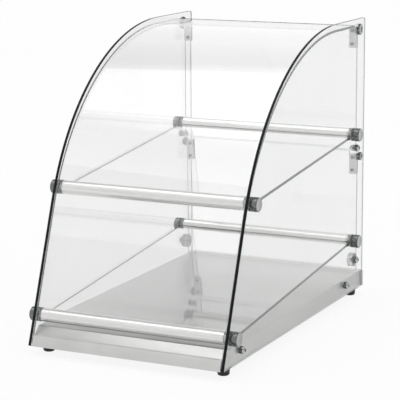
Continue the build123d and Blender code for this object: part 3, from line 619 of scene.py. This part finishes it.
def piece(bm, name, node, finishes, paint=None, body="cabinet"):
    """Write a shape as a piece that stands for a CAD node and has its finishes."""
    bmesh.ops.transform(bm, matrix=TO_FRAME, verts=bm.verts[:])
    bmesh.ops.recalc_face_normals(bm, faces=bm.faces[:])
    for face in bm.faces:
        face.smooth = True
    for edge in bm.edges:
        edge.smooth = edge.is_manifold and edge.calc_face_angle() < SHARP_ANGLE
    mesh = bpy.data.meshes.new(name)
    bm.to_mesh(mesh)
    bm.free()
    made = in_scene(name, mesh)
    for finish in finishes:
        mesh.materials.append(finish_of(finish))
    if paint:
        for polygon in mesh.polygons:
            polygon.material_index = paint(polygon)
    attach(made, body)
    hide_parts(node)
    return made


def square_to(axis):
    """Paint faces square to an axis as clear faces, and all others as edges."""
    return lambda polygon: 0 if abs(polygon.normal.dot(axis)) > DEAD_SQUARE else 1


def dress(node, finish):
    """Give a CAD node that stays its finish."""
    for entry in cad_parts[node].material_slots:
        entry.material = finish_of(finish)


def softened(node, name, finish, width=0.25, body="cabinet"):
    """A merged copy of a CAD node with its sharp edges rounded."""
    bm = bmesh.new()
    bm.from_mesh(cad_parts[node].data)
    bmesh.ops.remove_doubles(bm, verts=bm.verts[:], dist=1e-6)
    bmesh.ops.dissolve_limit(bm, angle_limit=radians(1), verts=bm.verts[:], edges=bm.edges[:])
    place(bm, TO_FRAME.inverted())
    made = piece(bm, name, node, [finish], body=body)
    rounding = made.modifiers.new("rounded_edges", "BEVEL")
    rounding.width = width / 1000
    rounding.segments = 2
    rounding.limit_method = "ANGLE"
    rounding.angle_limit = CORNER_ANGLE
    return made


def side_glass_faces(polygon):
    """Paint a side glass clear, with painted shade on the front edge, darkest, and on the top edge, grey, and
    the pale edge finish on the other edges.
    """
    if abs(polygon.normal.x) > DEAD_SQUARE:
        return 0
    # The front edge and its bend face forwards, up to 0.2 m behind the middle of the cabinet
    if polygon.normal.y < -0.06 and polygon.center.y < 0.2:
        return 1
    return 3 if polygon.normal.z > 0.3 else 2


class CABINET_OT_side_glasses(bpy.types.Operator):
    """Cut the two side glasses, with their drilled holes and polished edges"""

    bl_idname = "cabinet.side_glasses"
    bl_label = "Side glasses"

    def execute(self, context):
        thickness = mm("side_glass")
        bend_start, centre = front_bend(0, 0)
        holes = [(y, z, STUD_HOLE) for y, z, _ in BARS.values()]
        holes += [(y, z, FIXING_HOLE) for y, z in FIXINGS]
        holes += [(y, z, STOP_HOLE) for y, z in STOPS.values()]
        holes += [(y, z, PIVOT_HOLE) for y, z in PIVOTS.values()]
        for side, name in ((1, "right"), (-1, "left")):
            bm = bmesh.new()
            foot, start = joined(bm, [(0, 0), bend_start])
            end = bend(bm, start, centre, sizes().front_lean - pi / 2)
            *_, last = joined(bm, [(SIDE_DEPTH, SIDE_HEIGHT), (SIDE_DEPTH, 0)], end)
            bm.edges.new((last, foot))
            bmesh.ops.contextual_create(bm, geom=bm.edges[:])
            round_corners(bm, [(SIDE_DEPTH, SIDE_HEIGHT)], mm("top_corner"))
            round_corners(bm, [(0, 0), (SIDE_DEPTH, 0)], mm("small_corner"))
            draw_out(bm, thickness, mm("arris"), holes)
            middle = side * (GLASS_INSIDE + thickness / 2)
            place(bm, Matrix.Translation((middle, 0, 0)) @ SIDE_PLANE)
            finishes = ["glass", "front_edge", "pale_edge", "top_edge"]
            piece(bm, f"side_pane_{name}", f"side_glass_{name}", finishes, side_glass_faces)
        return {"FINISHED"}


def pane_section(bm):
    """Section of the curved pane from its foot to its rear edge."""
    sweep = pi / 2 - sizes().front_lean
    bend_start, centre = front_bend(PANE_INSET, PANE_DROP)
    first, start = joined(bm, [lean_point(PANE_INSET, PANE_FOOT), bend_start])
    end = bend(bm, start, centre, -sweep)
    top = SIDE_HEIGHT - PANE_DROP
    under = top - mm("pane")
    band = PANE_REAR - REAR_BAND
    rear = [(band, top), (PANE_REAR, top), (PANE_REAR, under), (band, under), (centre[0], under)]
    *_, last = joined(bm, rear, end)
    inner_start = bend(bm, last, centre, sweep)
    (foot,) = joined(bm, [lean_point(PANE_INSET + mm("pane"), PANE_FOOT)], inner_start)
    bm.edges.new((foot, first))


class CABINET_OT_front_pane(bpy.types.Operator):
    """Bend the front pane in one piece and lay the clear strips along its ends"""

    bl_idname = "cabinet.front_pane"
    bl_label = "Curved pane"

    def execute(self, context):
        bm = bmesh.new()
        pane_section(bm)
        draw_out(bm, 2 * PANE_HALF, mm("arris") / 2)
        place(bm, SIDE_PLANE)

        # The rear band, the foot band and both ends are ground, each with its own finish. The dark tints of
        # the rear band and the foot band are painted shade for the dark lines the glass shows there.
        rear_edge, foot_edge = (TO_FRAME @ Vector((0, PANE_REAR - REAR_BAND, PANE_FOOT + FOOT_BAND))).yz

        def paint(polygon):
            if abs(polygon.normal.x) > 0.5:
                return 2
            if polygon.center.y > rear_edge:
                return 3
            return 1 if polygon.center.z < foot_edge else 0

        piece(bm, "curved_pane", "front_glass", ["pane", "shaded_cut_edge", "pale_edge", "rear_edge"], paint)
        bm = bmesh.new()
        for side in (-1, 1):
            strip = bmesh.new()
            pane_section(strip)
            width = GLASS_INSIDE - PANE_HALF
            draw_out(strip, width)
            stamp(bm, strip, [Matrix.Translation((side * (PANE_HALF + width / 2), 0, 0)) @ SIDE_PLANE])
        piece(bm, "pane_end_strips", "pane_edge_seals", ["nylon"])
        return {"FINISHED"}


def shelf_frame(level):
    """Place of a shelf slot's middle line, tilt and length between the bars of a level."""
    front_y, front_z, front_drop = BARS[f"{level}_front"]
    rear_y, rear_z, rear_drop = BARS[f"{level}_rear"]
    run = rear_y - front_y
    rise = (rear_z - rear_drop) - (front_z - front_drop)
    tilt = Matrix.Rotation(atan2(rise, run), 4, "X")
    return Matrix.Translation((0, front_y, front_z - front_drop)) @ tilt, hypot(run, rise)


class CABINET_OT_shelves(bpy.types.Operator):
    """Cut the two shelves with a notch at each corner"""

    bl_idname = "cabinet.shelves"
    bl_label = "Shelves"

    def execute(self, context):
        start = mm("bar") / 2 - SLOT_DEPTH + SHELF_GAP
        thickness = mm("shelf")
        for level in ("upper", "lower"):
            matrix, reach = shelf_frame(level)
            end = reach - start
            near, far = SHELF_NOTCH_Y, reach - SHELF_NOTCH_Y
            inner, outer = SHELF_NOTCH_X, SHELF_HALF
            bm = bmesh.new()
            corners = [
                (-inner, start), (inner, start), (inner, near), (outer, near), (outer, far), (inner, far),
                (inner, end), (-inner, end), (-inner, far), (-outer, far), (-outer, near), (-inner, near),
            ]
            flat_face(bm, corners)
            round_corners(bm, [(x, y) for x, y in corners if abs(x) == outer], SHELF_CORNER, 3)
            draw_out(bm, thickness, mm("arris"))
            rest = (thickness - SLOT_WIDTH) / 2
            place(bm, matrix @ Matrix.Translation((0, 0, rest)))
            axis = matrix.to_3x3() @ Vector((0, 0, 1))
            # The shelf edges take the dark cut edge finish, a painted shade.
            piece(bm, f"glass_shelf_{level}", f"shelf_glass_{level}", ["pane", "shaded_cut_edge"], square_to(axis))
        return {"FINISHED"}


class CABINET_OT_doors(bpy.types.Operator):
    """Cut the two door glasses and fit their hinges"""

    bl_idname = "cabinet.doors"
    bl_label = "Doors and hinges"

    def execute(self, context):
        for level, (bottom, top) in DOORS.items():
            y, axis = PIVOTS[level]
            notch = axis - BLOCK_DROP
            inner = DOOR_HALF - DOOR_NOTCH
            bm = bmesh.new()
            corners = [
                (-DOOR_HALF, bottom), (DOOR_HALF, bottom), (DOOR_HALF, notch), (inner, notch),
                (inner, top), (-inner, top), (-inner, notch), (-DOOR_HALF, notch),
            ]
            flat_face(bm, corners)
            round_corners(bm, [(-DOOR_HALF, bottom), (DOOR_HALF, bottom)], DOOR_CORNER, 4)
            screw_z = axis - HINGE_SCREW_DROPS[1]
            holes = [(x, screw_z, HINGE_HOLE) for x in (-HINGE_SCREW_X, HINGE_SCREW_X)]
            draw_out(bm, mm("door"), mm("arris"), holes)
            place(bm, Matrix.Translation((0, y, 0)) @ DOOR_PLANE)
            body = f"{level}_door"
            paint = square_to(Vector((0, 1, 0)))
            piece(bm, f"{level}_door_pane", f"{level}_door_glass", ["pane", "pale_edge"], paint, body)
            hinge = f"{level}_hinge"
            softened(f"{hinge}_bodies", f"{hinge}_leaves", "hinge", 0.3, body)
            softened(f"{hinge}_clamp_plates", f"{hinge}_rear_plates", "hinge", 0.3, body)
            softened(f"{hinge}_nuts", f"{hinge}_hexagon_nuts", "fastener", 0.25, body)
            dress(f"{hinge}_pads", "nylon")
            bm = bmesh.new()
            # From the screw's point to its round head
            outline = [(8.2, 0), (8.2, 1.6), (7.8, 2.0), (-4.0, 2.0), (-4.0, 3.25)]
            outline += arc_points((-5.1, 2.15), 1.1, pi / 2, pi)
            outline += [(-6.2, 1.4), (-5.0, 1.0), (-5.0, 0)]
            places = [
                Matrix.Translation((x, y, axis - drop)) @ Matrix.Rotation(pi / 2, 4, "Z")
                for x in (-HINGE_SCREW_X, HINGE_SCREW_X)
                for drop in HINGE_SCREW_DROPS
            ]
            stamp(bm, turned(outline), places)
            piece(bm, f"{hinge}_round_heads", f"{hinge}_screws", ["dark_screw"], body=body)
        return {"FINISHED"}


class CABINET_OT_bars(bpy.types.Operator):
    """Extrude the four slotted bars"""

    bl_idname = "cabinet.bars"
    bl_label = "Bars"

    def execute(self, context):
        radius = mm("bar") / 2
        for name, (y, z, drop) in BARS.items():
            level, end = name.split("_")
            matrix, reach = shelf_frame(level)
            # The section is drawn along the shelf, so the slot opens straight towards the other bar
            _, along, height = matrix.inverted() @ Vector((0, y, z))
            facing = 1 if end == "front" else -1
            bm = bmesh.new()
            half = SLOT_WIDTH / 2
            low = Vector((facing * (radius**2 - (half + height) ** 2) ** 0.5, -half - height))
            high = Vector((facing * (radius**2 - (half - height) ** 2) ** 0.5, half - height))
            bottom = radius - SLOT_DEPTH if end == "front" else reach - (radius - SLOT_DEPTH)
            deep = bottom - along
            slot_start, slot_end = (low, high) if facing < 0 else (high, low)
            first = bm.verts.new((*slot_start, 0))
            turn = atan2(slot_end.y, slot_end.x) - atan2(slot_start.y, slot_start.x)
            last = bend(bm, first, (0, 0), turn % (2 * pi))
            inner = joined(bm, [(deep, last.co.y), (deep, first.co.y)], last)
            bm.edges.new((inner[-1], first))
            draw_out(bm, 2 * BAR_HALF)
            soften(bm, [edge for edge in rims(bm) if edge.calc_face_angle() > RIM_ANGLE], BAR_CHAMFER, 1)
            place(bm, Matrix.Translation((0, y, z)) @ matrix.to_3x3().to_4x4() @ SIDE_PLANE)
            neck = BAR_NECK / 2
            outline = [(BAR_HALF, 0), (BAR_HALF, neck), (BAR_END, neck), (BAR_END, STUD_BORE)]
            stamp(bm, turned(outline), both_sides((y, z)))
            piece(bm, f"round_bar_{name}", f"bar_{name}", ["bar"])
        return {"FINISHED"}


def ring(start, end, bore, radius):
    """Outline of a plain ring."""
    return [(start, bore), (start, radius), (end, radius), (end, bore)]


def pin(start, end, radius, chamfer):
    """Outline of a round pin with chamfered ends."""
    return [
        (start, 0), (start, radius - chamfer), (start + chamfer, radius),
        (end - chamfer, radius), (end, radius - chamfer), (end, 0),
    ]


def turned_pieces():
    """Turned pieces as (piece, node, finish, outline, places), with (x, radius) outlines of the right end."""
    inside, outside = GLASS_INSIDE, GLASS_OUTSIDE
    seat = outside + GASKET
    knob = mm("knob") / 2
    edge = mm("knob_chamfer")
    tip = seat + mm("knob_length")
    knob_outline = [
        (seat, STUD_BORE), (seat, knob - 0.3), (seat + 0.3, knob), (tip - edge, knob), (tip, knob - edge),
        (tip, knob - edge - 0.6), (tip - 0.12, knob - edge - 0.9), (tip - 0.12, 0),
    ]
    dome = mm("dome") / 2
    head = [(seat, dome), (seat + 2.0, dome)]
    head += arc_points((seat + 2.0, dome - 4.0), 4.0, pi / 2, 0, 10)[1:]
    head += [(seat + 6.0, 1.9), (seat + 4.4, 1.7), (seat + 4.4, 0)]
    bars = both_sides(*BARS.values())
    fixings = both_sides(*FIXINGS)
    stops = both_sides(*STOPS.values())
    pivots = both_sides(*PIVOTS.values())
    knobs = [
        (f"end_knobs_{name}", f"knobs_{name}", "turned", knob_outline, both_sides(spot))
        for name, spot in BARS.items()
    ]
    return knobs + [
        ("bar_end_rings", "bar_washers", "turned",
         [(BAR_END, 3.15), (BAR_END, 11.45), (167.3, 11.75), (169.2, 11.75), (169.5, 11.45), (169.5, 3.15)],
         bars),
        ("inner_gasket_rings", "bar_inner_gaskets", "nylon", ring(169.5, inside, 3.15, 11.0), bars),
        ("outer_gasket_rings", "bar_outer_gaskets", "nylon",
         [(170.3, STUD_BORE), (170.3, 3.85), (outside, 3.85), (outside, 11.0), (seat, 11.0),
          (seat, STUD_BORE)], bars),
        ("threaded_studs", "bar_studs", "fastener", pin(150.0, 183.0, 3.0, 0.4), bars),
        ("domed_base_screws", "base_fixing_screws", "domed",
         [(162.3, 0), (162.3, 2.2), (162.6, 2.5), (seat, 2.5)] + head, fixings),
        ("domed_stop_screws", "door_stop_screws", "domed",
         [(164.0, 0), (164.0, 1.7), (164.3, 2.0), (seat, 2.0)] + head, stops),
        ("base_screw_washers", "base_fixing_washers", "nylon", ring(outside, seat, 2.65, 5.75), fixings),
        ("stop_screw_washers", "door_stop_washers", "nylon", ring(outside, seat, 2.15, 5.75), stops),
        ("spacer_rings", "base_spacers", "fastener", ring(BASE_HALF, inside, 2.65, 6.0), fixings),
        ("hinge_pins", "pivot_pins", "fastener", pin(163.8, 178.0, 2.5, 0.3), pivots),
        ("hinge_bushes", "pivot_bushes", "nylon",
         [(169.2, 2.55), (169.2, 5.8), (169.4, 6.0), (inside, 6.0), (inside, 4.55), (outside, 4.55),
          (outside, 2.55)], pivots),
        ("upper_pivot_discs", "upper_pivot_caps", "turned",
         [(outside, 2.55), (outside, 10.0), (178.2, 10.0), (179.0, 9.2), (179.0, 4.6), (178.2, 4.2),
          (178.2, 0)], both_sides(PIVOTS["upper"])),
        ("lower_pivot_discs", "lower_pivot_caps", "turned",
         [(outside, 2.55), (outside, 7.5), (178.7, 7.5), (179.5, 6.7), (179.5, 3.4), (178.2, 2.9),
          (178.2, 0)], both_sides(PIVOTS["lower"])),
        ("pointed_door_stops", "upper_door_stops", "nylon",
         [(159.3, 0), (159.3, 1.7), (159.6, 2.0), (163.8, 5.5), (inside, 5.5), (inside, 2.05), (164.0, 2.05),
          (164.0, 0)], both_sides(STOPS["upper"])),
        ("disc_door_stops", "lower_door_stops", "nylon",
         [(160.0, 0), (160.0, 11.45), (160.8, 12.25), (inside, 12.25), (inside, 2.05), (164.0, 2.05),
          (164.0, 0)], both_sides(STOPS["lower"])),
    ]


def turned_faces(polygon):
    """Paint a turned part's flat faces with the first finish and its round side with the second, a darker
    copy of the same steel that is painted shade.
    """
    return 0 if abs(polygon.normal.x) > 0.9 else 1


def domed_faces(polygon):
    """Paint a screw's dome with the first finish, and its rim and drive recess with the second, a darker
    steel that is painted shade.
    """
    return 0 if 0.3 < abs(polygon.normal.x) < 0.985 else 1


# Painted shade: the second finish of each pair is the darker copy of the turned steel.
TWO_FINISHES = {
    "turned": (["turned", "turned_side"], turned_faces),
    "domed": (["fastener", "turned_side"], domed_faces),
}


class CABINET_OT_turned_parts(bpy.types.Operator):
    """Turn the knobs, washers, screws, pins, caps and stops"""

    bl_idname = "cabinet.turned_parts"
    bl_label = "Turned parts"

    def execute(self, context):
        for name, node, finish, outline, places in turned_pieces():
            bm = bmesh.new()
            stamp(bm, turned(outline), places)
            finishes, paint = TWO_FINISHES.get(finish, ([finish], None))
            piece(bm, name, node, finishes, paint)
        return {"FINISHED"}


def folded_sheet(bm):
    """Fold the base out of one sheet, open below."""
    fold_y, fold_z = lean_point(BASE_INSET, LIP_HEIGHT)
    top_y = fold_y + (BASE_HEIGHT - fold_z)
    bends = [(fold_y, fold_z), (top_y, BASE_HEIGHT), (BASE_DEPTH, BASE_HEIGHT)]
    flat_face(bm, [lean_point(BASE_INSET, 0), *bends, (BASE_DEPTH, 0)])
    radius = mm("base_bend")
    round_corners(bm, bends[:2], radius * HALF_FOLD, 4)
    round_corners(bm, bends[2:], radius, 6)
    thicken(bm, 2 * BASE_HALF)
    bottom = [face for face in bm.faces if face.normal.y < -SQUARE]
    edges = [edge for edge in rims(bm) if not any(face in bottom for face in edge.link_faces)]
    bmesh.ops.delete(bm, geom=bottom, context="FACES_ONLY")
    soften(bm, edges, mm("base_edge"), 3)
    bmesh.ops.solidify(bm, geom=bm.faces[:], thickness=mm("sheet"))
    place(bm, SIDE_PLANE)


def wider_end(bm, side):
    """Add the ear at one side of the base's rear end, which covers the end of the side glass."""
    ear = bmesh.ops.create_cube(bm, size=1.0)["verts"]
    box = (GLASS_OUTSIDE - BASE_HALF, BASE_DEPTH - END_FRONT, END_HEIGHT)
    middle = (side * (BASE_HALF + GLASS_OUTSIDE) / 2, (BASE_DEPTH + END_FRONT) / 2, END_HEIGHT / 2)
    bmesh.ops.scale(bm, vec=box, verts=ear)
    bmesh.ops.translate(bm, vec=middle, verts=ear)
    soften(bm, list({edge for vert in ear for edge in vert.link_edges}), END_ROUNDING, 2)


def lip_channel(bm):
    """Fold the channel that the foot of the curved pane stands in, with the low lip in front."""
    lip_inner = LIP_INSET + CHANNEL_SHEET
    leg = PANE_INSET + mm("pane") + LIP_INSET
    corners = (
        (LIP_INSET, 0), (LIP_INSET, LIP_HEIGHT), (lip_inner, LIP_HEIGHT), (lip_inner, CHANNEL_SHEET),
        (leg, CHANNEL_SHEET), (leg, CHANNEL_REAR_HEIGHT), (BASE_INSET, CHANNEL_REAR_HEIGHT), (BASE_INSET, 0),
    )
    section = [lean_point(*corner) for corner in corners]
    flat_face(bm, section)
    round_corners(bm, [section[0]], CHANNEL_SHEET, 4)
    round_corners(bm, section[1:3], LIP_ROUNDING, 2)
    draw_out(bm, 2 * BASE_HALF, CHANNEL_ARRIS)
    place(bm, SIDE_PLANE)


class CABINET_OT_base(bpy.types.Operator):
    """Fold the base and its front channel"""

    bl_idname = "cabinet.base"
    bl_label = "Base"

    def execute(self, context):
        bm = bmesh.new()
        folded_sheet(bm)
        for side in (-1, 1):
            wider_end(bm, side)
        piece(bm, "folded_base", "base_shell", ["steel"])
        bm = bmesh.new()
        lip_channel(bm)
        piece(bm, "front_channel", "base_front_channel", ["steel"])
        softened("base_fixing_nuts", "base_hexagon_nuts", "fastener")
        softened("foot_nuts", "foot_hexagon_nuts", "fastener")
        for side in ("left", "right"):
            dress(f"foot_rail_{side}", "steel")
        dress("pane_seat_strip", "rubber")
        return {"FINISHED"}


class CABINET_OT_feet(bpy.types.Operator):
    """Mould the four rubber feet and turn their screws"""

    bl_idname = "cabinet.feet"
    bl_label = "Feet"

    def execute(self, context):
        top = mm("foot_top") / 2
        bottom = mm("foot_bottom") / 2
        corner = (-FOOT_HEIGHT + FOOT_ROUNDING, bottom - FOOT_ROUNDING + 0.1)
        outline = [(0, FOOT_BORE), (0, top)]
        outline += arc_points(corner, FOOT_ROUNDING, pi / 2, pi, 8)
        outline += [(-FOOT_HEIGHT, FOOT_WELL + 0.4), (-FOOT_HEIGHT + 0.4, FOOT_WELL)]
        outline += [(FOOT_SEAT, FOOT_WELL), (FOOT_SEAT, FOOT_BORE), (0, FOOT_BORE)]
        screw = [(-10.5, 0), (-10.5, 3.0), (-10.0, 3.75), (FOOT_SEAT, 3.75)]
        screw += [(FOOT_SEAT, 2.5), (5.9, 2.5), (6.2, 2.2), (6.2, 0)]
        screws = bmesh.new()
        for row, y in zip(("front", "rear"), FOOT_ROWS):
            for side, name in ((-1, "left"), (1, "right")):
                stand = Matrix.Translation((side * FOOT_X, y, 0)) @ POINT_UP
                bm = bmesh.new()
                stamp(bm, turned(outline), [stand])
                piece(bm, f"rubber_foot_{row}_{name}", f"foot_{row}_{name}", ["rubber"])
                stamp(screws, turned(screw), [stand])
        piece(screws, "foot_cap_screws", "foot_screws", ["fastener"])
        return {"FINISHED"}


def soft_sun(name, towards, strength, width):
    """Wide far lamp that shines along a direction."""
    lamp = bpy.data.lights.new(name, "SUN")
    lamp.energy = strength
    lamp.angle = width
    made = in_scene(name, lamp)
    made.rotation_euler = Vector(towards).to_track_quat("-Z", "Y").to_euler()


def level_ramp(tree, height, levels):
    """Brightness by how high a direction points, from (height, brightness) pairs."""
    curve = add(tree, "ShaderNodeFloatCurve", {"Value": height})
    line = curve.mapping.curves[0]
    for point, (position, level) in zip(line.points, (levels[0], levels[-1])):
        point.location = (position, level / MIRROR_MOST)
    for position, level in levels[1:-1]:
        line.points.new(position, level / MIRROR_MOST)
    for point in line.points:
        point.handle_type = "VECTOR"
    curve.mapping.update()
    return add(tree, "ShaderNodeMath", {0: curve.outputs[0], 1: MIRROR_MOST}, operation="MULTIPLY").outputs[0]


def plain_sight(tree):
    """What kind of ray arrives, and whether it comes from the camera, straight or through glass."""
    path = add(tree, "ShaderNodeLightPath")
    inputs = {0: path.outputs["Is Camera Ray"], 1: path.outputs["Is Transmission Ray"]}
    return path, add(tree, "ShaderNodeMath", inputs, operation="MAXIMUM").outputs[0]


def lay_floor(studio):
    """Plain matt floor, nearly white to the camera, that keeps a faint shadow."""
    bm = bmesh.new()
    bmesh.ops.create_grid(bm, x_segments=1, y_segments=1, size=FLOOR_HALF)
    mesh = bpy.data.meshes.new("floor")
    bm.to_mesh(mesh)
    bm.free()
    floor = in_scene("floor", mesh)
    made, tree = blank("matt_paper_floor")
    path, seen = plain_sight(tree)
    inputs = {0: path.outputs["Is Glossy Ray"], 1: FLOOR_MIRRORED}
    mirrored = add(tree, "ShaderNodeMath", inputs, operation="MULTIPLY").outputs[0]
    shown = add(tree, "ShaderNodeMath", {0: seen, 1: mirrored}, operation="MAXIMUM").outputs[0]
    share = add(tree, "ShaderNodeMath", {0: shown, 1: FLOOR_WHITE}, operation="MULTIPLY").outputs[0]
    matt = add(tree, "ShaderNodeBsdfDiffuse", {"Color": rgba(studio.floor)}).outputs[0]
    glow = add(tree, "ShaderNodeEmission", {"Color": rgba(studio.backdrop), "Strength": 1.0}).outputs[0]
    shader = add(tree, "ShaderNodeMixShader", {0: share, 1: matt, 2: glow}).outputs[0]
    add(tree, "ShaderNodeOutputMaterial", {"Surface": shader})
    mesh.materials.append(made)


def light_all_round(studio):
    """World that is white to the camera, graded to mirrors and an even soft light to the rest."""
    world = bpy.data.worlds.new("pale_studio")
    world.use_nodes = True
    tree = world.node_tree
    tree.nodes.clear()
    path, seen = plain_sight(tree)
    # A mirror image that has since gone through glass still counts as one
    inputs = {0: path.outputs["Glossy Depth"], 1: 0.5}
    in_mirror = add(tree, "ShaderNodeMath", inputs, operation="GREATER_THAN").outputs[0]
    direction = add(tree, "ShaderNodeTexCoord").outputs["Generated"]
    axes = add(tree, "ShaderNodeSeparateXYZ", {0: direction})
    in_front = level_ramp(tree, axes.outputs[2], FRONT_MIRROR)
    behind = level_ramp(tree, axes.outputs[2], REAR_MIRROR)
    ends = {"Value": axes.outputs[1], "From Min": -MIRROR_BLEND, "From Max": MIRROR_BLEND}
    rear_share = add(tree, "ShaderNodeMapRange", ends).outputs[0]
    inputs = {0: rear_share, 2: in_front, 3: behind}
    level = add(tree, "ShaderNodeMix", inputs, data_type="FLOAT").outputs[0]
    near, far = RIGHT_FADE
    ends = {"Value": axes.outputs[0], "From Min": near, "From Max": far, "To Min": 1.0, "To Max": RIGHT_LEVEL}
    dimming = add(tree, "ShaderNodeMapRange", ends).outputs[0]
    mirrored = add(tree, "ShaderNodeMath", {0: level, 1: dimming}, operation="MULTIPLY").outputs[0]
    backdrop = rgba(studio.backdrop)
    inputs = {"Color": (1, 1, 1, 1), "Strength": studio.world_light}
    soft = add(tree, "ShaderNodeBackground", inputs).outputs[0]
    glossy = add(tree, "ShaderNodeBackground", {"Color": backdrop, "Strength": mirrored}).outputs[0]
    white = add(tree, "ShaderNodeBackground", {"Color": backdrop, "Strength": 1.0}).outputs[0]
    lit = add(tree, "ShaderNodeMixShader", {0: in_mirror, 1: soft, 2: glossy}).outputs[0]
    inputs = {0: seen, 1: in_mirror}
    plain = add(tree, "ShaderNodeMath", inputs, operation="SUBTRACT", use_clamp=True).outputs[0]
    shader = add(tree, "ShaderNodeMixShader", {0: plain, 1: lit, 2: white}).outputs[0]
    add(tree, "ShaderNodeOutputWorld", {"Surface": shader})
    bpy.context.scene.world = world


def set_camera(studio):
    """Camera at the photograph's viewing angle, placed by where it has the cabinet's front corner."""
    lens = bpy.data.cameras.new("camera")
    lens.lens = studio.lens
    lens.sensor_width = SENSOR_WIDTH
    camera = in_scene("camera", lens)
    look = (
        Matrix.Rotation(studio.turn, 4, "Z")
        @ Matrix.Rotation(pi / 2 - studio.pitch, 4, "X")
        @ Matrix.Rotation(studio.roll, 4, "Z")
    )
    right, up, ahead = studio.eye
    corner = Vector((0, -BASE_DEPTH / 2000, FOOT_HEIGHT / 1000))
    stand = corner - look.to_3x3() @ Vector((right, up, -ahead))
    camera.matrix_world = Matrix.Translation(stand) @ look
    bpy.context.scene.camera = camera


class CABINET_OT_stage(bpy.types.Operator):
    """Lay the floor, light the cabinet from all round and overhead, and set the camera"""

    bl_idname = "cabinet.stage"
    bl_label = "Stage"

    def execute(self, context):
        scene = context.scene
        studio = scene.cabinet_studio
        lay_floor(studio)
        light_all_round(studio)
        soft_sun("overhead_lamp", LAMP_DIRECTION, studio.overhead, LAMP_WIDTH)
        set_camera(studio)
        scene.view_settings.view_transform = "Standard"
        scene.cycles.transparent_max_bounces = BOUNCES
        scene.cycles.transmission_bounces = BOUNCES
        scene.cycles.max_bounces = BOUNCES
        return {"FINISHED"}


class CABINET_PT_panel(bpy.types.Panel):
    """Sizes, colours and steps of the cabinet"""

    bl_idname = "CABINET_PT_panel"
    bl_label = "Display cabinet"
    bl_space_type = "VIEW_3D"
    bl_region_type = "UI"
    bl_category = "Cabinet"

    def draw(self, context):
        for step in STEPS:
            self.layout.operator(step.bl_idname)
        for group_name in GROUPS:
            group = getattr(context.scene, group_name)
            box = self.layout.box()
            for name in group.__annotations__:
                box.prop(group, name)


STEPS = (
    CABINET_OT_stage,
    CABINET_OT_side_glasses,
    CABINET_OT_front_pane,
    CABINET_OT_shelves,
    CABINET_OT_doors,
    CABINET_OT_bars,
    CABINET_OT_turned_parts,
    CABINET_OT_base,
    CABINET_OT_feet,
)
GROUPS = {
    "cabinet_sizes": CabinetSizes,
    "cabinet_colours": CabinetColours,
    "cabinet_studio": CabinetStudio,
}
CLASSES = (*GROUPS.values(), *STEPS, CABINET_PT_panel)


def register():
    """Register the groups, the steps and the panel."""
    for made in CLASSES:
        bpy.utils.register_class(made)
    for name, group in GROUPS.items():
        setattr(bpy.types.Scene, name, PointerProperty(type=group))


def unregister():
    """Undo register."""
    for name in GROUPS:
        delattr(bpy.types.Scene, name)
    for made in reversed(CLASSES):
        bpy.utils.unregister_class(made)


def main():
    """Build every piece and the stage."""
    register()
    bpy.ops.cabinet.stage()
    bpy.ops.cabinet.side_glasses()
    bpy.ops.cabinet.front_pane()
    bpy.ops.cabinet.shelves()
    bpy.ops.cabinet.doors()
    bpy.ops.cabinet.bars()
    bpy.ops.cabinet.turned_parts()
    bpy.ops.cabinet.base()
    bpy.ops.cabinet.feet()


if __name__ == "__main__":
    main()
